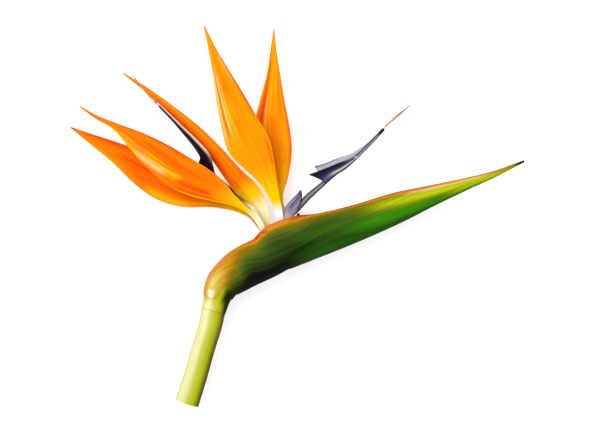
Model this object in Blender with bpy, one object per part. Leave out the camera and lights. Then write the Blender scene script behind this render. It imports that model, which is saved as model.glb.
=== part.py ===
"""Bird of paradise flower (Strelitzia reginae), cut and lying on its side.

Lengths are written in millimetres and turned into metres by MM. The flower lies in the XY plane on
z = 0: +X runs along the spathe to its tip, +Y up the crest of sepals and +Z is across the flower.
The origin is under the middle of the flower, on the surface that it rests on.
"""
import math

import bmesh
import bpy
import numpy as np
from mathutils import Vector

MM = 0.001

# ---- driving dimensions, mm -------------------------------------------------------------------
MID_Z = 10.4            # height of the spathe's fold plane over the surface
SEPAL_WALL = 0.8
ARROW_WALL = 0.5
HOOD_WALL = 0.6
BRACT_WALL = 0.5
SPATHE_WALL = 1.5
SLIT_HALF = 0.3         # half the slit between the spathe's two margins
ARROW_RISE_POWER = 1.4  # how late an arrow starts to rise off its root's height
MOUTH_HALF = 7.4        # half the width of the mouth that the florets grow out of

# The stem and its continuation, the rachis: x, y, z and radius of its middle line. The repeated
# place is the shoulder that the spathe's collar stands on.
STEM = (
    (-60.9, -102.3, 6.65, 6.65),
    (-56.3, -88.0, 7.5, 6.5),
    (-52.0, -73.0, 8.4, 6.4),
    (-47.9, -59.5, 9.5, 6.5),
    (-46.2, -51.5, 10.1, 6.7),
    (-44.65, -46.15, 10.4, 7.2),
)
RACHIS = (
    (-44.65, -46.15, 10.4, 5.5),
    (-43.3, -41.6, 10.4, 5.4),
    (-40.0, -37.0, 10.4, 5.2),
    (-33.0, -32.6, 10.4, 4.6),
    (-26.0, -30.0, 10.4, 4.1),
    (-17.0, -26.5, 10.4, 3.6),
    (-8.0, -23.0, 10.4, 3.2),
    (2.0, -19.6, 10.4, 2.6),
)

# The spathe from its collar to its tip: x, y of the middle line, half height, half thickness and
# half the opening between its margins.
SPATHE = (
    (-44.48, -45.5, 7.3, 7.4, SLIT_HALF),
    (-43.35, -41.6, 8.6, 7.9, SLIT_HALF),
    (-40.2, -35.9, 9.9, 8.3, SLIT_HALF),
    (-33.3, -30.2, 11.4, 9.2, SLIT_HALF),
    (-27.2, -26.5, 11.8, 9.9, SLIT_HALF),
    (-17.5, -21.8, 12.0, 10.6, 5.6),
    (-9.5, -16.2, 13.5, 10.9, MOUTH_HALF),
    (2.1, -12.0, 13.2, 10.8, 6.2),
    (14.3, -8.9, 11.6, 10.1, 1.0),
    (33.7, -2.6, 10.0, 8.6, SLIT_HALF),
    (55.3, 5.5, 8.5, 7.0, SLIT_HALF),
    (75.0, 12.4, 5.7, 4.6, SLIT_HALF),
    (93.0, 18.5, 3.4, 2.8, SLIT_HALF),
    (108.0, 23.7, 1.9, 1.5, SLIT_HALF),
    (125.0, 31.0, 0.6, 0.6, SLIT_HALF),
)

# Ovaries: x, y, in-plane radius and radius across, from the rachis up to the seat of the perianth.
OVARY_1 = ((-14.5, -20.7, 2.0, 2.0), (-14.0, -16.0, 3.1, 3.5), (-17.6, -9.9, 2.6, 4.3))
OVARY_2 = ((-5.5, -18.1, 2.0, 2.0), (-5.6, -12.5, 3.0, 3.5), (-7.8, -5.5, 2.6, 4.3))

# A sepal is laid out along the straight line from its root to its tip. Its edge rows hold the part
# of that length and the edges to the right and left of the line, its arch rows the part of the
# length and the height over the root. A fold is how steeply each half drops from the midrib.
SEPALS = {
    "sepal_far_1": {
        "root": (-18.6, -9.3, 7.4), "length": 122.0, "bearing": 151.0, "fold": (-0.25, -0.25),
        "edges": ((0.0, -2.4, 1.4), (0.06, -7.4, -3.3), (0.13, -9.2, -4.0), (0.25, -9.6, -0.1),
                  (0.38, -9.7, 8.3), (0.5, -9.3, 11.7), (0.62, -8.2, 10.3), (0.76, -5.8, 5.8),
                  (0.88, -3.0, 3.0), (1.0, -0.35, 0.35)),
        "arch": ((0.0, 0.0), (0.1, -1.4), (0.3, -4.8), (0.57, -7.0), (0.8, -6.0), (1.0, -3.0)),
    },
    "sepal_near_1": {
        "root": (-18.2, -8.9, 14.5), "length": 121.5, "bearing": 145.2, "fold": (0.3, 0.3),
        "edges": ((0.0, -2.4, 1.4), (0.06, -6.2, -2.6), (0.13, -7.4, -3.9), (0.2, -7.8, -2.2),
                  (0.28, -10.2, 1.7), (0.37, -11.2, 6.0), (0.46, -10.9, 8.2), (0.6, -9.7, 6.8),
                  (0.72, -7.1, 3.0), (0.82, -3.9, 0.1), (0.92, -1.1, 0.8), (1.0, -0.3, 0.4)),
        "arch": ((0.0, 0.0), (0.1, 1.6), (0.3, 8.5), (0.6, 16.0), (0.8, 19.0), (1.0, 20.5)),
    },
    "sepal_top_1": {
        "root": (-16.8, -8.2, 8.9), "length": 117.8, "bearing": 132.0, "fold": (0.6, 0.3),
        "edges": ((0.0, -2.2, 1.6), (0.04, -7.0, 0.6), (0.1, -11.0, 0.0), (0.18, -13.4, -0.6),
                  (0.3, -12.6, -2.4), (0.45, -12.5, -4.6), (0.6, -11.0, -4.9), (0.75, -7.9, -3.8),
                  (0.88, -4.4, -1.8), (1.0, -0.35, 0.35)),
        "arch": ((0.0, 0.0), (0.15, 0.3), (0.35, 2.0), (0.6, 3.6), (1.0, 6.5)),
    },
    "sepal_near_2": {
        "root": (-8.7, -5.2, 14.5), "length": 117.0, "bearing": 110.9, "fold": (0.3, 0.3),
        "edges": ((0.0, -2.0, 1.8), (0.05, -3.2, 0.7), (0.16, -5.6, 0.8), (0.23, -7.3, 2.8),
                  (0.31, -9.5, 7.1), (0.37, -10.8, 10.6), (0.42, -11.0, 12.3), (0.52, -9.0, 11.3),
                  (0.65, -6.6, 8.5), (0.77, -4.0, 5.2), (0.88, -1.7, 2.7), (1.0, -0.35, 0.35)),
        "arch": ((0.0, 0.0), (0.1, 1.2), (0.3, 6.5), (0.6, 15.0), (0.8, 19.0), (1.0, 21.0)),
    },
    "sepal_top_2": {
        "root": (-7.4, -4.3, 8.9), "length": 107.8, "bearing": 92.9, "fold": (0.3, 0.3),
        "edges": ((0.0, -1.8, 1.8), (0.08, -1.0, 3.4), (0.15, -0.4, 5.2), (0.23, -3.2, 8.2),
                  (0.32, -5.6, 11.6), (0.4, -6.5, 13.3), (0.5, -5.8, 13.6), (0.65, -3.6, 9.4),
                  (0.78, -2.2, 4.9), (0.9, -0.8, 2.4), (1.0, -0.3, 0.3)),
        "arch": ((0.0, 0.0), (0.5, 2.6), (1.0, 5.0)),
    },
    "sepal_far_2": {
        "root": (-8.7, -5.2, 7.4), "length": 101.0, "bearing": 110.5, "fold": (-0.25, -0.25),
        "edges": ((0.0, -1.8, 1.6), (0.1, -3.4, 0.2), (0.25, -6.0, 2.2), (0.42, -8.4, 8.2),
                  (0.55, -7.0, 8.4), (0.7, -4.6, 6.0), (0.85, -2.0, 3.2), (1.0, -0.3, 0.3)),
        "arch": ((0.0, 0.0), (0.15, -0.8), (0.5, -5.2), (0.8, -5.4), (1.0, -4.0)),
    },
}

# The two fused petals of a floret make an arrow-shaped gutter round the style. Its rows hold the
# place of the keel, of the near edge and of the far edge, each along and to the left of the line
# from root to tip, and half the gutter's width. The barbs are the rows where the edges jump back.
ARROWS = {
    "arrow_petals_1": {
        "root": (-17.7, -9.3, 11.6), "bearing": 129.8, "rise": 9.5,
        "rows": ((0.0, -0.6, 0.0, 1.0, 0.0, 1.0, 1.0), (12.0, -1.3, 12.0, 0.9, 12.0, 0.9, 1.1),
                 (30.0, -1.9, 30.0, 0.6, 30.0, 0.6, 1.1), (42.5, -0.2, 43.0, 1.8, 44.5, 1.9, 1.2),
                 (46.5, -1.8, 44.2, 2.2, 52.6, 3.6, 1.7), (55.0, -4.9, 54.5, -0.4, 55.6, 0.3, 1.5),
                 (65.0, -4.3, 65.0, -1.0, 65.0, -0.7, 1.3), (77.0, -2.8, 77.0, -0.9, 77.0, -0.7, 1.15),
                 (91.0, -1.5, 91.0, 0.1, 91.0, 0.1, 1.1)),
    },
    "arrow_petals_2": {
        "root": (-4.6, -2.4, 11.0), "bearing": 44.6, "rise": 3.0,
        "rows": ((-4.4, 0.6, -4.4, 2.6, -4.4, 2.6, 1.0), (7.0, 0.5, 7.0, 3.5, 7.0, 3.5, 1.1),
                 (17.0, 0.9, 17.0, 4.1, 17.0, 4.1, 1.1), (28.0, 0.6, 30.0, 2.7, 31.0, 2.7, 1.2),
                 (31.5, 0.5, 25.9, 11.0, 31.5, 12.2, 2.2), (37.0, 0.1, 32.5, 8.0, 36.0, 9.6, 2.2),
                 (44.0, -1.3, 41.5, 4.2, 44.0, 6.2, 1.7), (52.0, -1.6, 51.0, 0.6, 52.0, 2.6, 1.3),
                 (62.0, -1.5, 62.0, 0.4, 62.0, 0.7, 1.15), (73.0, -1.0, 73.0, 0.6, 73.0, 0.6, 1.1)),
    },
}

# The short hooded petal over each floret's nectary, laid out as a sepal is.
HOODS = {
    "nectar_petal_1": {
        "root": (-17.9, -9.3, 13.5), "length": 22.0, "bearing": 124.0,
        "edges": ((0.0, -1.5, 1.3), (0.35, -2.9, 1.0), (0.7, -3.6, 1.4), (1.0, -0.6, 0.6)),
        "rise": 2.4,
    },
    "nectar_petal_2": {
        "root": (-6.9, -4.0, 13.1), "length": 21.0, "bearing": 65.0,
        "edges": ((0.0, -1.2, 1.2), (0.25, -2.2, 3.3), (0.43, -2.9, 3.8), (0.73, -2.8, 2.1),
                  (0.9, -1.8, 0.8), (1.0, -0.3, 0.4)),
        "rise": 0.8,
    },
}

# Style and stigma of each floret: places along and to the left of its arrow's own line, and radius.
STYLES = {
    "style_1": ((52.0, -2.5, 0.35), (76.0, -1.9, 0.35), (91.6, -0.55, 0.35), (94.5, -0.4, 0.8),
                (98.0, 0.2, 0.6), (102.0, 0.3, 0.4), (109.0, 0.0, 0.35), (114.4, -0.5, 0.15)),
    "style_2": ((40.0, 0.8, 0.35), (52.0, 0.0, 0.35), (62.0, -0.5, 0.35), (73.4, -0.1, 0.35),
                (75.6, 0.2, 0.7), (84.0, -0.4, 0.7), (92.8, -1.3, 0.2)),
}

# Unopened florets folded away in the spathe: x, y, z and radius, from the rachis on.
BUDS = {
    "bud_3": ((2.5, -19.2, 11.9, 1.0), (16.0, -10.8, 13.7, 2.7), (34.0, -4.2, 12.9, 2.6),
              (60.0, 6.2, 11.4, 1.2), (72.0, 10.6, 10.9, 0.3)),
    "bud_4": ((2.5, -19.5, 8.9, 1.0), (16.0, -12.6, 7.2, 2.3), (30.0, -6.8, 7.6, 2.2),
              (50.0, 1.2, 8.8, 1.0), (60.0, 5.0, 9.6, 0.3)),
}

# The papery bract behind the second floret: only its dark tip shows over the spathe's rim.
BRACTEOLE = {
    "root": (-0.3, -16.75, MID_Z), "length": 19.2, "bearing": 87.0,
    "edges": ((0.0, -1.6, 1.6), (0.5, -2.2, 2.2), (0.85, -1.5, 1.5), (1.0, -0.5, 0.5)),
    "rise": 0.0,
}

# Finishes: colour, roughness.
SEPAL_ORANGE = ((1.0, 0.37, 0.0), 0.42)
SPATHE_GREEN = ((0.06, 0.14, 0.02), 0.38)
STEM_GREEN = ((0.55, 0.6, 0.04), 0.4)
ARROW_BLUE = ((0.05, 0.05, 0.16), 0.5)
HOOD_BLUE = ((0.2, 0.22, 0.42), 0.5)
OVARY_CREAM = ((0.9, 0.85, 0.6), 0.5)
STYLE_TAN = ((0.55, 0.4, 0.25), 0.5)
BUD_CREAM = ((0.85, 0.7, 0.3), 0.5)
BRACT_RED = ((0.25, 0.03, 0.02), 0.6)


def clear_scene():
    """Take every object out of the open file."""
    for obj in list(bpy.data.objects):
        bpy.data.objects.remove(obj, do_unlink=True)


def through(rows, at):
    """Read a smooth curve through rows (position, value, ...) at a position: a list of values."""
    table = np.array(rows, float)
    spots, values = table[:, 0], table[:, 1:]
    slopes = np.gradient(values, spots, axis=0)
    k = int(np.clip(np.searchsorted(spots, at, side="right") - 1, 0, len(spots) - 2))
    step = spots[k + 1] - spots[k]
    u = (at - spots[k]) / step
    return ((2 * u**3 - 3 * u**2 + 1) * values[k] + (u**3 - 2 * u**2 + u) * step * slopes[k]
            + (3 * u**2 - 2 * u**3) * values[k + 1] + (u**3 - u**2) * step * slopes[k + 1])


def numbered(rows):
    """Put each row's own number in front of it, as its position along the piece."""
    return [(float(number), *row) for number, row in enumerate(rows)]


def smoothstep(value):
    """Ease from 0 to 1 as the value goes from 0 to 1."""
    value = min(max(value, 0.0), 1.0)
    return value * value * (3.0 - 2.0 * value)


def finish(colour_and_roughness, name):
    """Make the Principled material of one piece."""
    colour, roughness = colour_and_roughness
    material = bpy.data.materials.new(name)
    material.use_nodes = True
    shader = material.node_tree.nodes["Principled BSDF"]
    shader.inputs["Base Color"].default_value = (*colour, 1.0)
    shader.inputs["Roughness"].default_value = roughness
    shader.inputs["Metallic"].default_value = 0.0
    return material


def place(name, bm, look, at, bearing=0.0, parent=None):
    """Turn a bmesh into a named object, standing at a place in mm and turned about Z."""
    mesh = bpy.data.meshes.new(name)
    bm.to_mesh(mesh)
    bm.free()
    mesh.shade_smooth()
    mesh.set_sharp_from_angle(angle=math.radians(50.0))
    mesh.materials.append(finish(look, name))
    obj = bpy.data.objects.new(name, mesh)
    bpy.context.scene.collection.objects.link(obj)
    obj.parent = parent
    base = Vector(parent.location) if parent else Vector((0.0, 0.0, 0.0))
    obj.location = Vector(at) * MM - base
    obj.rotation_euler.z = math.radians(bearing)
    return obj


def add_wall(obj, thickness, inward=False, weights=None):
    """Give a sheet its thickness, centred on it or grown inward, thinned by vertex weights."""
    wall = obj.modifiers.new("wall", "SOLIDIFY")
    wall.thickness = thickness * MM
    wall.offset = -1.0 if inward else 0.0
    wall.use_even_offset = False
    if weights:
        group = obj.vertex_groups.new(name="thinning")
        for index, weight in enumerate(weights):
            group.add([index], weight, "REPLACE")
        wall.vertex_group = group.name
        wall.thickness_vertex_group = 0.0


def sheet(along, across, surface):
    """Make a grid and move each point to surface(a, t), with a from 0 to 1 and t from -1 to 1."""
    bm = bmesh.new()
    bmesh.ops.create_grid(bm, x_segments=along, y_segments=across, size=1.0)
    for vert in bm.verts:
        vert.co = Vector(surface(0.5 + 0.5 * vert.co.x, vert.co.y)) * MM
    return bm


def rod(rings, sides, surface):
    """Make a capped tube and move each point to surface(a, angle), with a from 0 to 1."""
    bm = bmesh.new()
    bmesh.ops.create_cone(bm, cap_ends=True, segments=sides, radius1=1.0, radius2=1.0, depth=2.0)
    runs = [edge for edge in bm.edges if abs(edge.verts[0].co.z - edge.verts[1].co.z) > 1.0]
    bmesh.ops.subdivide_edges(bm, edges=runs, cuts=rings - 1, use_grid_fill=True)
    for vert in bm.verts:
        angle = math.atan2(vert.co.y, vert.co.x)
        vert.co = Vector(surface(0.5 + 0.5 * vert.co.z, angle)) * MM
    return bm


def section(rows, spot):
    """Give the centre, the two directions across and the radius at a spot of a middle line."""
    track = numbered(rows)
    x, y, z, radius = (float(value) for value in through(track, spot))
    ahead = through(track, min(spot + 0.02, len(rows) - 1))[:3]
    behind = through(track, max(spot - 0.02, 0.0))[:3]
    forward = Vector(ahead - behind).normalized()
    side = Vector((0.0, 0.0, 1.0)).cross(forward).normalized()
    return Vector((x, y, z)), side, forward.cross(side), radius


def round_rod(rows, rings, sides, radius_across=None):
    """Make a rod round a middle line of x, y, z, radius rows, given an optional radius across."""
    def surface(a, angle):
        spot = a * (len(rows) - 1)
        centre, side, lift, radius = section(rows, spot)
        across = radius_across(spot) if radius_across else radius
        return centre + side * (radius * math.cos(angle)) + lift * (across * math.sin(angle))

    return rod(rings, sides, surface)


def make_stem():
    """The round stem, with a flat cut end and a shoulder, that goes on as the rachis."""
    rings = 9
    spots = [(STEM, (len(STEM) - 1) * ring / rings) for ring in range(rings + 1)]
    spots += [(RACHIS, (len(RACHIS) - 1) * ring / rings) for ring in range(rings + 1)]

    def surface(a, angle):
        rows, spot = spots[round(a * (len(spots) - 1))]
        centre, side, lift, radius = section(rows, spot)
        return centre + side * (radius * math.cos(angle)) + lift * (radius * math.sin(angle))

    return place("stem", rod(len(spots) - 1, 16, surface), STEM_GREEN, (0.0, 0.0, 0.0))


def make_spathe():
    """The boat-shaped bract: one wall folded round the keel, with its margins along the top."""
    track = numbered(SPATHE)
    last = len(SPATHE) - 1
    along, across = 30, 16

    def surface(a, t):
        spot = a * last
        x, y, half_height, half_thick, opening = (float(value) for value in through(track, spot))
        opening = min(max(opening, SLIT_HALF), 0.9 * half_thick)
        ahead = through(track, min(spot + 0.05, last)) - through(track, max(spot - 0.05, 0.0))
        forward = Vector((ahead[0], ahead[1], 0.0)).normalized()
        up = Vector((-forward.y, forward.x, 0.0))
        margin = math.pi - math.asin(opening / half_thick)
        angle = t * margin
        height = half_height * (2.0 * (1.0 - math.cos(angle)) / (1.0 - math.cos(margin)) - 1.0)
        point = Vector((x, y, MID_Z)) + up * height
        point.z = max(MID_Z + half_thick * math.sin(angle), 0.0)
        return point

    bm = sheet(along, across, surface)
    weights = []
    for number in range((along + 1) * (across + 1)):
        column = number % (along + 1)
        half_thick = through(track, last * column / along)[3]
        weights.append(min(1.0, 0.55 * half_thick / SPATHE_WALL))
    obj = place("spathe", bm, SPATHE_GREEN, (0.0, 0.0, 0.0))
    add_wall(obj, SPATHE_WALL, inward=True, weights=weights)
    return obj


def make_ovary(name, rows, parent):
    """An ovary: a rod that widens across the flower up to the seat of the perianth."""
    flat = [(x, y, MID_Z + 0.6, radius) for x, y, radius, _ in rows]
    across = numbered([(row[3],) for row in rows])
    bm = round_rod(flat, 6, 12, radius_across=lambda spot: float(through(across, spot)[0]))
    base = Vector(parent.location)
    bmesh.ops.translate(bm, vec=-base, verts=bm.verts[:])
    return place(name, bm, OVARY_CREAM, tuple(base / MM), parent=parent)


def make_sepal(name, plan, parent):
    """A sepal: a narrow claw that opens into a lance-shaped blade folded along its midrib."""
    fold_left, fold_right = plan["fold"]

    def surface(a, t):
        right, left = through(plan["edges"], a)
        half = 0.5 * (left - right)
        height = through(plan["arch"], a)[0]
        steep = fold_left if t > 0.0 else fold_right
        soft = math.sqrt(t * t + 0.03) - math.sqrt(0.03)
        drop = steep * half * soft * smoothstep(a / 0.3)
        return (a * plan["length"], 0.5 * (left + right) + t * half, height - drop)

    bm = sheet(16, 6, surface)
    obj = place(name, bm, SEPAL_ORANGE, plan["root"], plan["bearing"], parent)
    add_wall(obj, SEPAL_WALL)
    return obj


def arrow_height(plan, x):
    """The height of an arrow's middle over its root, a distance x along its line."""
    return plan["rise"] * (max(x, 0.0) / plan["rows"][-1][0]) ** ARROW_RISE_POWER


def make_arrow(name, plan, parent):
    """The two fused petals: a folded gutter with a near wing and a far wing, each with a barb."""
    rows = plan["rows"]
    last = len(rows) - 1
    steps = 2

    def surface(a, t):
        spot = a * last
        low = min(int(spot), last - 1)
        u = spot - low
        row = [(1.0 - u) * start + u * end for start, end in zip(rows[low], rows[low + 1])]
        keel_x, keel_y, near_x, near_y, far_x, far_y, half_gap = row
        edge_x, edge_y = (near_x, near_y) if t > 0.0 else (far_x, far_y)
        part = abs(t)
        x = keel_x + (edge_x - keel_x) * part**2
        y = keel_y + (edge_y - keel_y) * part**2
        side = half_gap * math.sin(0.5 * math.pi * min(1.0, 1.6 * part))
        return (x, y, arrow_height(plan, x) + (side if t > 0.0 else -side))

    bm = sheet(steps * last, 8, surface)
    obj = place(name, bm, ARROW_BLUE, plan["root"], plan["bearing"], parent)
    add_wall(obj, ARROW_WALL)
    return obj


def make_style(name, rows, plan, parent):
    """The style in its arrow's gutter, and the stigma that stands out past the arrow's end."""
    path = [(x, y, arrow_height(plan, x), radius) for x, y, radius in rows]
    bm = round_rod(path, 14, 6)
    return place(name, bm, STYLE_TAN, plan["root"], plan["bearing"], parent)


def make_hood(name, plan, look, wall, parent=None):
    """A short blade with a pointed tip that stands up from its root."""
    def surface(a, t):
        right, left = through(plan["edges"], a)
        half = 0.5 * (left - right)
        return (a * plan["length"], 0.5 * (left + right) + t * half, plan["rise"] * a * a)

    bm = sheet(8, 4, surface)
    obj = place(name, bm, look, plan["root"], plan["bearing"], parent)
    add_wall(obj, wall)
    return obj


def make_bud(name, rows):
    """An unopened floret: a slender rod that ends in a point."""
    return place(name, round_rod(rows, 12, 8), BUD_CREAM, (0.0, 0.0, 0.0))


def make_floret(number, ovary_rows):
    """One open floret on its ovary: three sepals, the arrow, the hooded petal and the style."""
    seat = bpy.data.objects.new(f"floret_{number}", None)
    bpy.context.scene.collection.objects.link(seat)
    seat.location = Vector((ovary_rows[-1][0], ovary_rows[-1][1], MID_Z)) * MM
    make_ovary(f"ovary_{number}", ovary_rows, seat)
    for side in ("far", "near", "top"):
        name = f"sepal_{side}_{number}"
        make_sepal(name, SEPALS[name], seat)
    arrow = f"arrow_petals_{number}"
    make_arrow(arrow, ARROWS[arrow], seat)
    hood = f"nectar_petal_{number}"
    make_hood(hood, HOODS[hood], HOOD_BLUE, HOOD_WALL, seat)
    style = f"style_{number}"
    make_style(style, STYLES[style], ARROWS[arrow], seat)


def main():
    clear_scene()
    make_stem()
    make_spathe()
    make_floret(1, OVARY_1)
    make_floret(2, OVARY_2)
    for name, rows in BUDS.items():
        make_bud(name, rows)
    make_hood("bracteole_2", BRACTEOLE, BRACT_RED, BRACT_WALL)


main()
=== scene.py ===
"""A cut bird of paradise flower (Strelitzia reginae) that lies on a white table.

The flower lies in the XY plane on z = 0: +X runs along the spathe to its tip, +Y up the crest of
sepals and +Z is across the flower. Rows of numbers are in millimetres and are turned into metres
by MM. A piece is a sheet or a rod: a grid or a capped tube whose points are moved by a formula of
the part of its length, a, and the part of its width, t, or the angle round it.
"""

import math
from itertools import repeat

import bmesh
import bpy
import numpy as np
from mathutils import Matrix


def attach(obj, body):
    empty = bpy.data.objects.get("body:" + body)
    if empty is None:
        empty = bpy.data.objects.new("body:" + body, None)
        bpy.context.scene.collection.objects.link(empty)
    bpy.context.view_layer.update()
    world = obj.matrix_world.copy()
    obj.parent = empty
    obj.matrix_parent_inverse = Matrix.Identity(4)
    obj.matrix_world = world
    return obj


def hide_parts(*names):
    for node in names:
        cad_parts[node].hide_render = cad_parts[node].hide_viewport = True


bl_info = {
    "name": "Bird of Paradise Flower",
    "version": (1, 0, 0),
    "blender": (4, 5, 0),
    "location": "View3D > Sidebar > Flower",
    "description": "Builds a cut bird of paradise flower and the white table that it lies on",
    "category": "Add Mesh",
}

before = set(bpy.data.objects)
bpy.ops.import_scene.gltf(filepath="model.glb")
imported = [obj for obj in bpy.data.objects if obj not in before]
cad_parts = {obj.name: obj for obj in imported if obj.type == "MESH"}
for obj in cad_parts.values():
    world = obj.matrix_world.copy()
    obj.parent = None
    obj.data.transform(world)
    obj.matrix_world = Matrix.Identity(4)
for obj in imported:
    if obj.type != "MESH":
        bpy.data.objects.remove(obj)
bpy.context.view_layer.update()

MM = 0.001
BODY = "root"

# ---- shape of the flower, mm --------------------------------------------------------------------
MID_Z = 10.4            # height of the spathe's fold plane over the table
SLIT_HALF = 0.3         # half the slit between the spathe's two margins
ARROW_RISE_POWER = 1.4  # how late an arrow starts to rise off its root's height
MOUTH_HALF = 7.4        # half the width of the mouth that the florets grow out of
TABLE_CLEARANCE = 0.4   # lowest that a sepal's middle surface comes over the table

# Parts of a mesh along and round or across each kind of piece.
STEM_MESH = (60, 48)    # rings in the stem and again in the rachis, sides
SPATHE_MESH = (240, 96)
OVARY_MESH = (24, 36)
SEPAL_MESH = (150, 56)
ARROW_MESH = (14, 40)   # parts between two rows, parts across
BLADE_MESH = (48, 24)
STYLE_MESH = (90, 16)
BUD_MESH = (60, 24)

SHARP_ANGLE = 60.0      # an edge that bends more than this many degrees stays sharp
MIDRIB_ROUND = 0.03     # how softly a sepal bends at its midrib, in squares of its half width
WAVE_PACE = 17.0        # radians that the waves of a sepal's edges go through along it
WAVE_HEIGHT = 0.35      # height of those waves
STROKE_END = 0.25       # part of a stroke's length over which each of its ends fades
COLLAR_PLACE = 1.02     # where the spathe's first row lies on the stem, as the stem's a
ROW_PITCH = 0.21        # how far the next row lies from it, in the same measure
CUT_END_Y = -90.0       # the cut end of the stem lies below this y

# Middle line of the stem and of the rachis that it goes on as: x, y, z, radius.
STEM = (
    (-60.9, -102.3, 6.65, 6.65),
    (-56.3, -88.0, 7.5, 6.5),
    (-52.0, -73.0, 8.4, 6.4),
    (-47.9, -59.5, 9.5, 6.5),
    (-46.2, -51.5, 10.1, 6.7),
    (-44.65, -46.15, 10.4, 7.2),
)
RACHIS = (
    (-44.65, -46.15, 10.4, 5.5),
    (-43.3, -41.6, 10.4, 5.4),
    (-40.0, -37.0, 10.4, 5.2),
    (-33.0, -32.6, 10.4, 4.6),
    (-26.0, -30.0, 10.4, 4.1),
    (-17.0, -26.5, 10.4, 3.6),
    (-8.0, -23.0, 10.4, 3.2),
    (2.0, -19.6, 10.4, 2.6),
)

# The spathe from its collar to its tip: x, y of the middle line, half height, half thickness and
# half the opening between its margins.
SPATHE = (
    (-44.48, -45.5, 7.3, 7.4, SLIT_HALF),
    (-43.35, -41.6, 8.6, 7.9, SLIT_HALF),
    (-40.2, -35.9, 9.9, 8.3, SLIT_HALF),
    (-33.3, -30.2, 11.4, 9.2, SLIT_HALF),
    (-27.2, -26.5, 11.8, 9.9, SLIT_HALF),
    (-17.5, -21.8, 12.0, 10.6, 5.6),
    (-9.5, -16.2, 13.5, 10.9, MOUTH_HALF),
    (2.1, -12.0, 13.2, 10.8, 6.2),
    (14.3, -8.9, 11.6, 10.1, 1.0),
    (33.7, -2.6, 10.0, 8.6, SLIT_HALF),
    (55.3, 5.5, 8.5, 7.0, SLIT_HALF),
    (75.0, 12.4, 5.7, 4.6, SLIT_HALF),
    (93.0, 18.5, 3.4, 2.8, SLIT_HALF),
    (108.0, 23.7, 1.9, 1.5, SLIT_HALF),
    (125.0, 31.0, 0.6, 0.6, SLIT_HALF),
)

# The spathe's papery foot, which hugs the stem's shoulder below the collar, as a row of SPATHE.
FOOT = (-46.05, -51.2, 6.8, 6.8, SLIT_HALF)

# Ovaries: x, y, in-plane radius and radius across, from the rachis up to the seat of the perianth.
OVARIES = {
    "ovary_1": ((-14.5, -20.7, 2.0, 2.0), (-14.0, -16.0, 3.1, 3.5), (-17.6, -9.9, 2.6, 4.3)),
    "ovary_2": ((-5.5, -18.1, 2.0, 2.0), (-5.6, -12.5, 3.0, 3.5), (-7.8, -5.5, 2.6, 4.3)),
}

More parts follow.
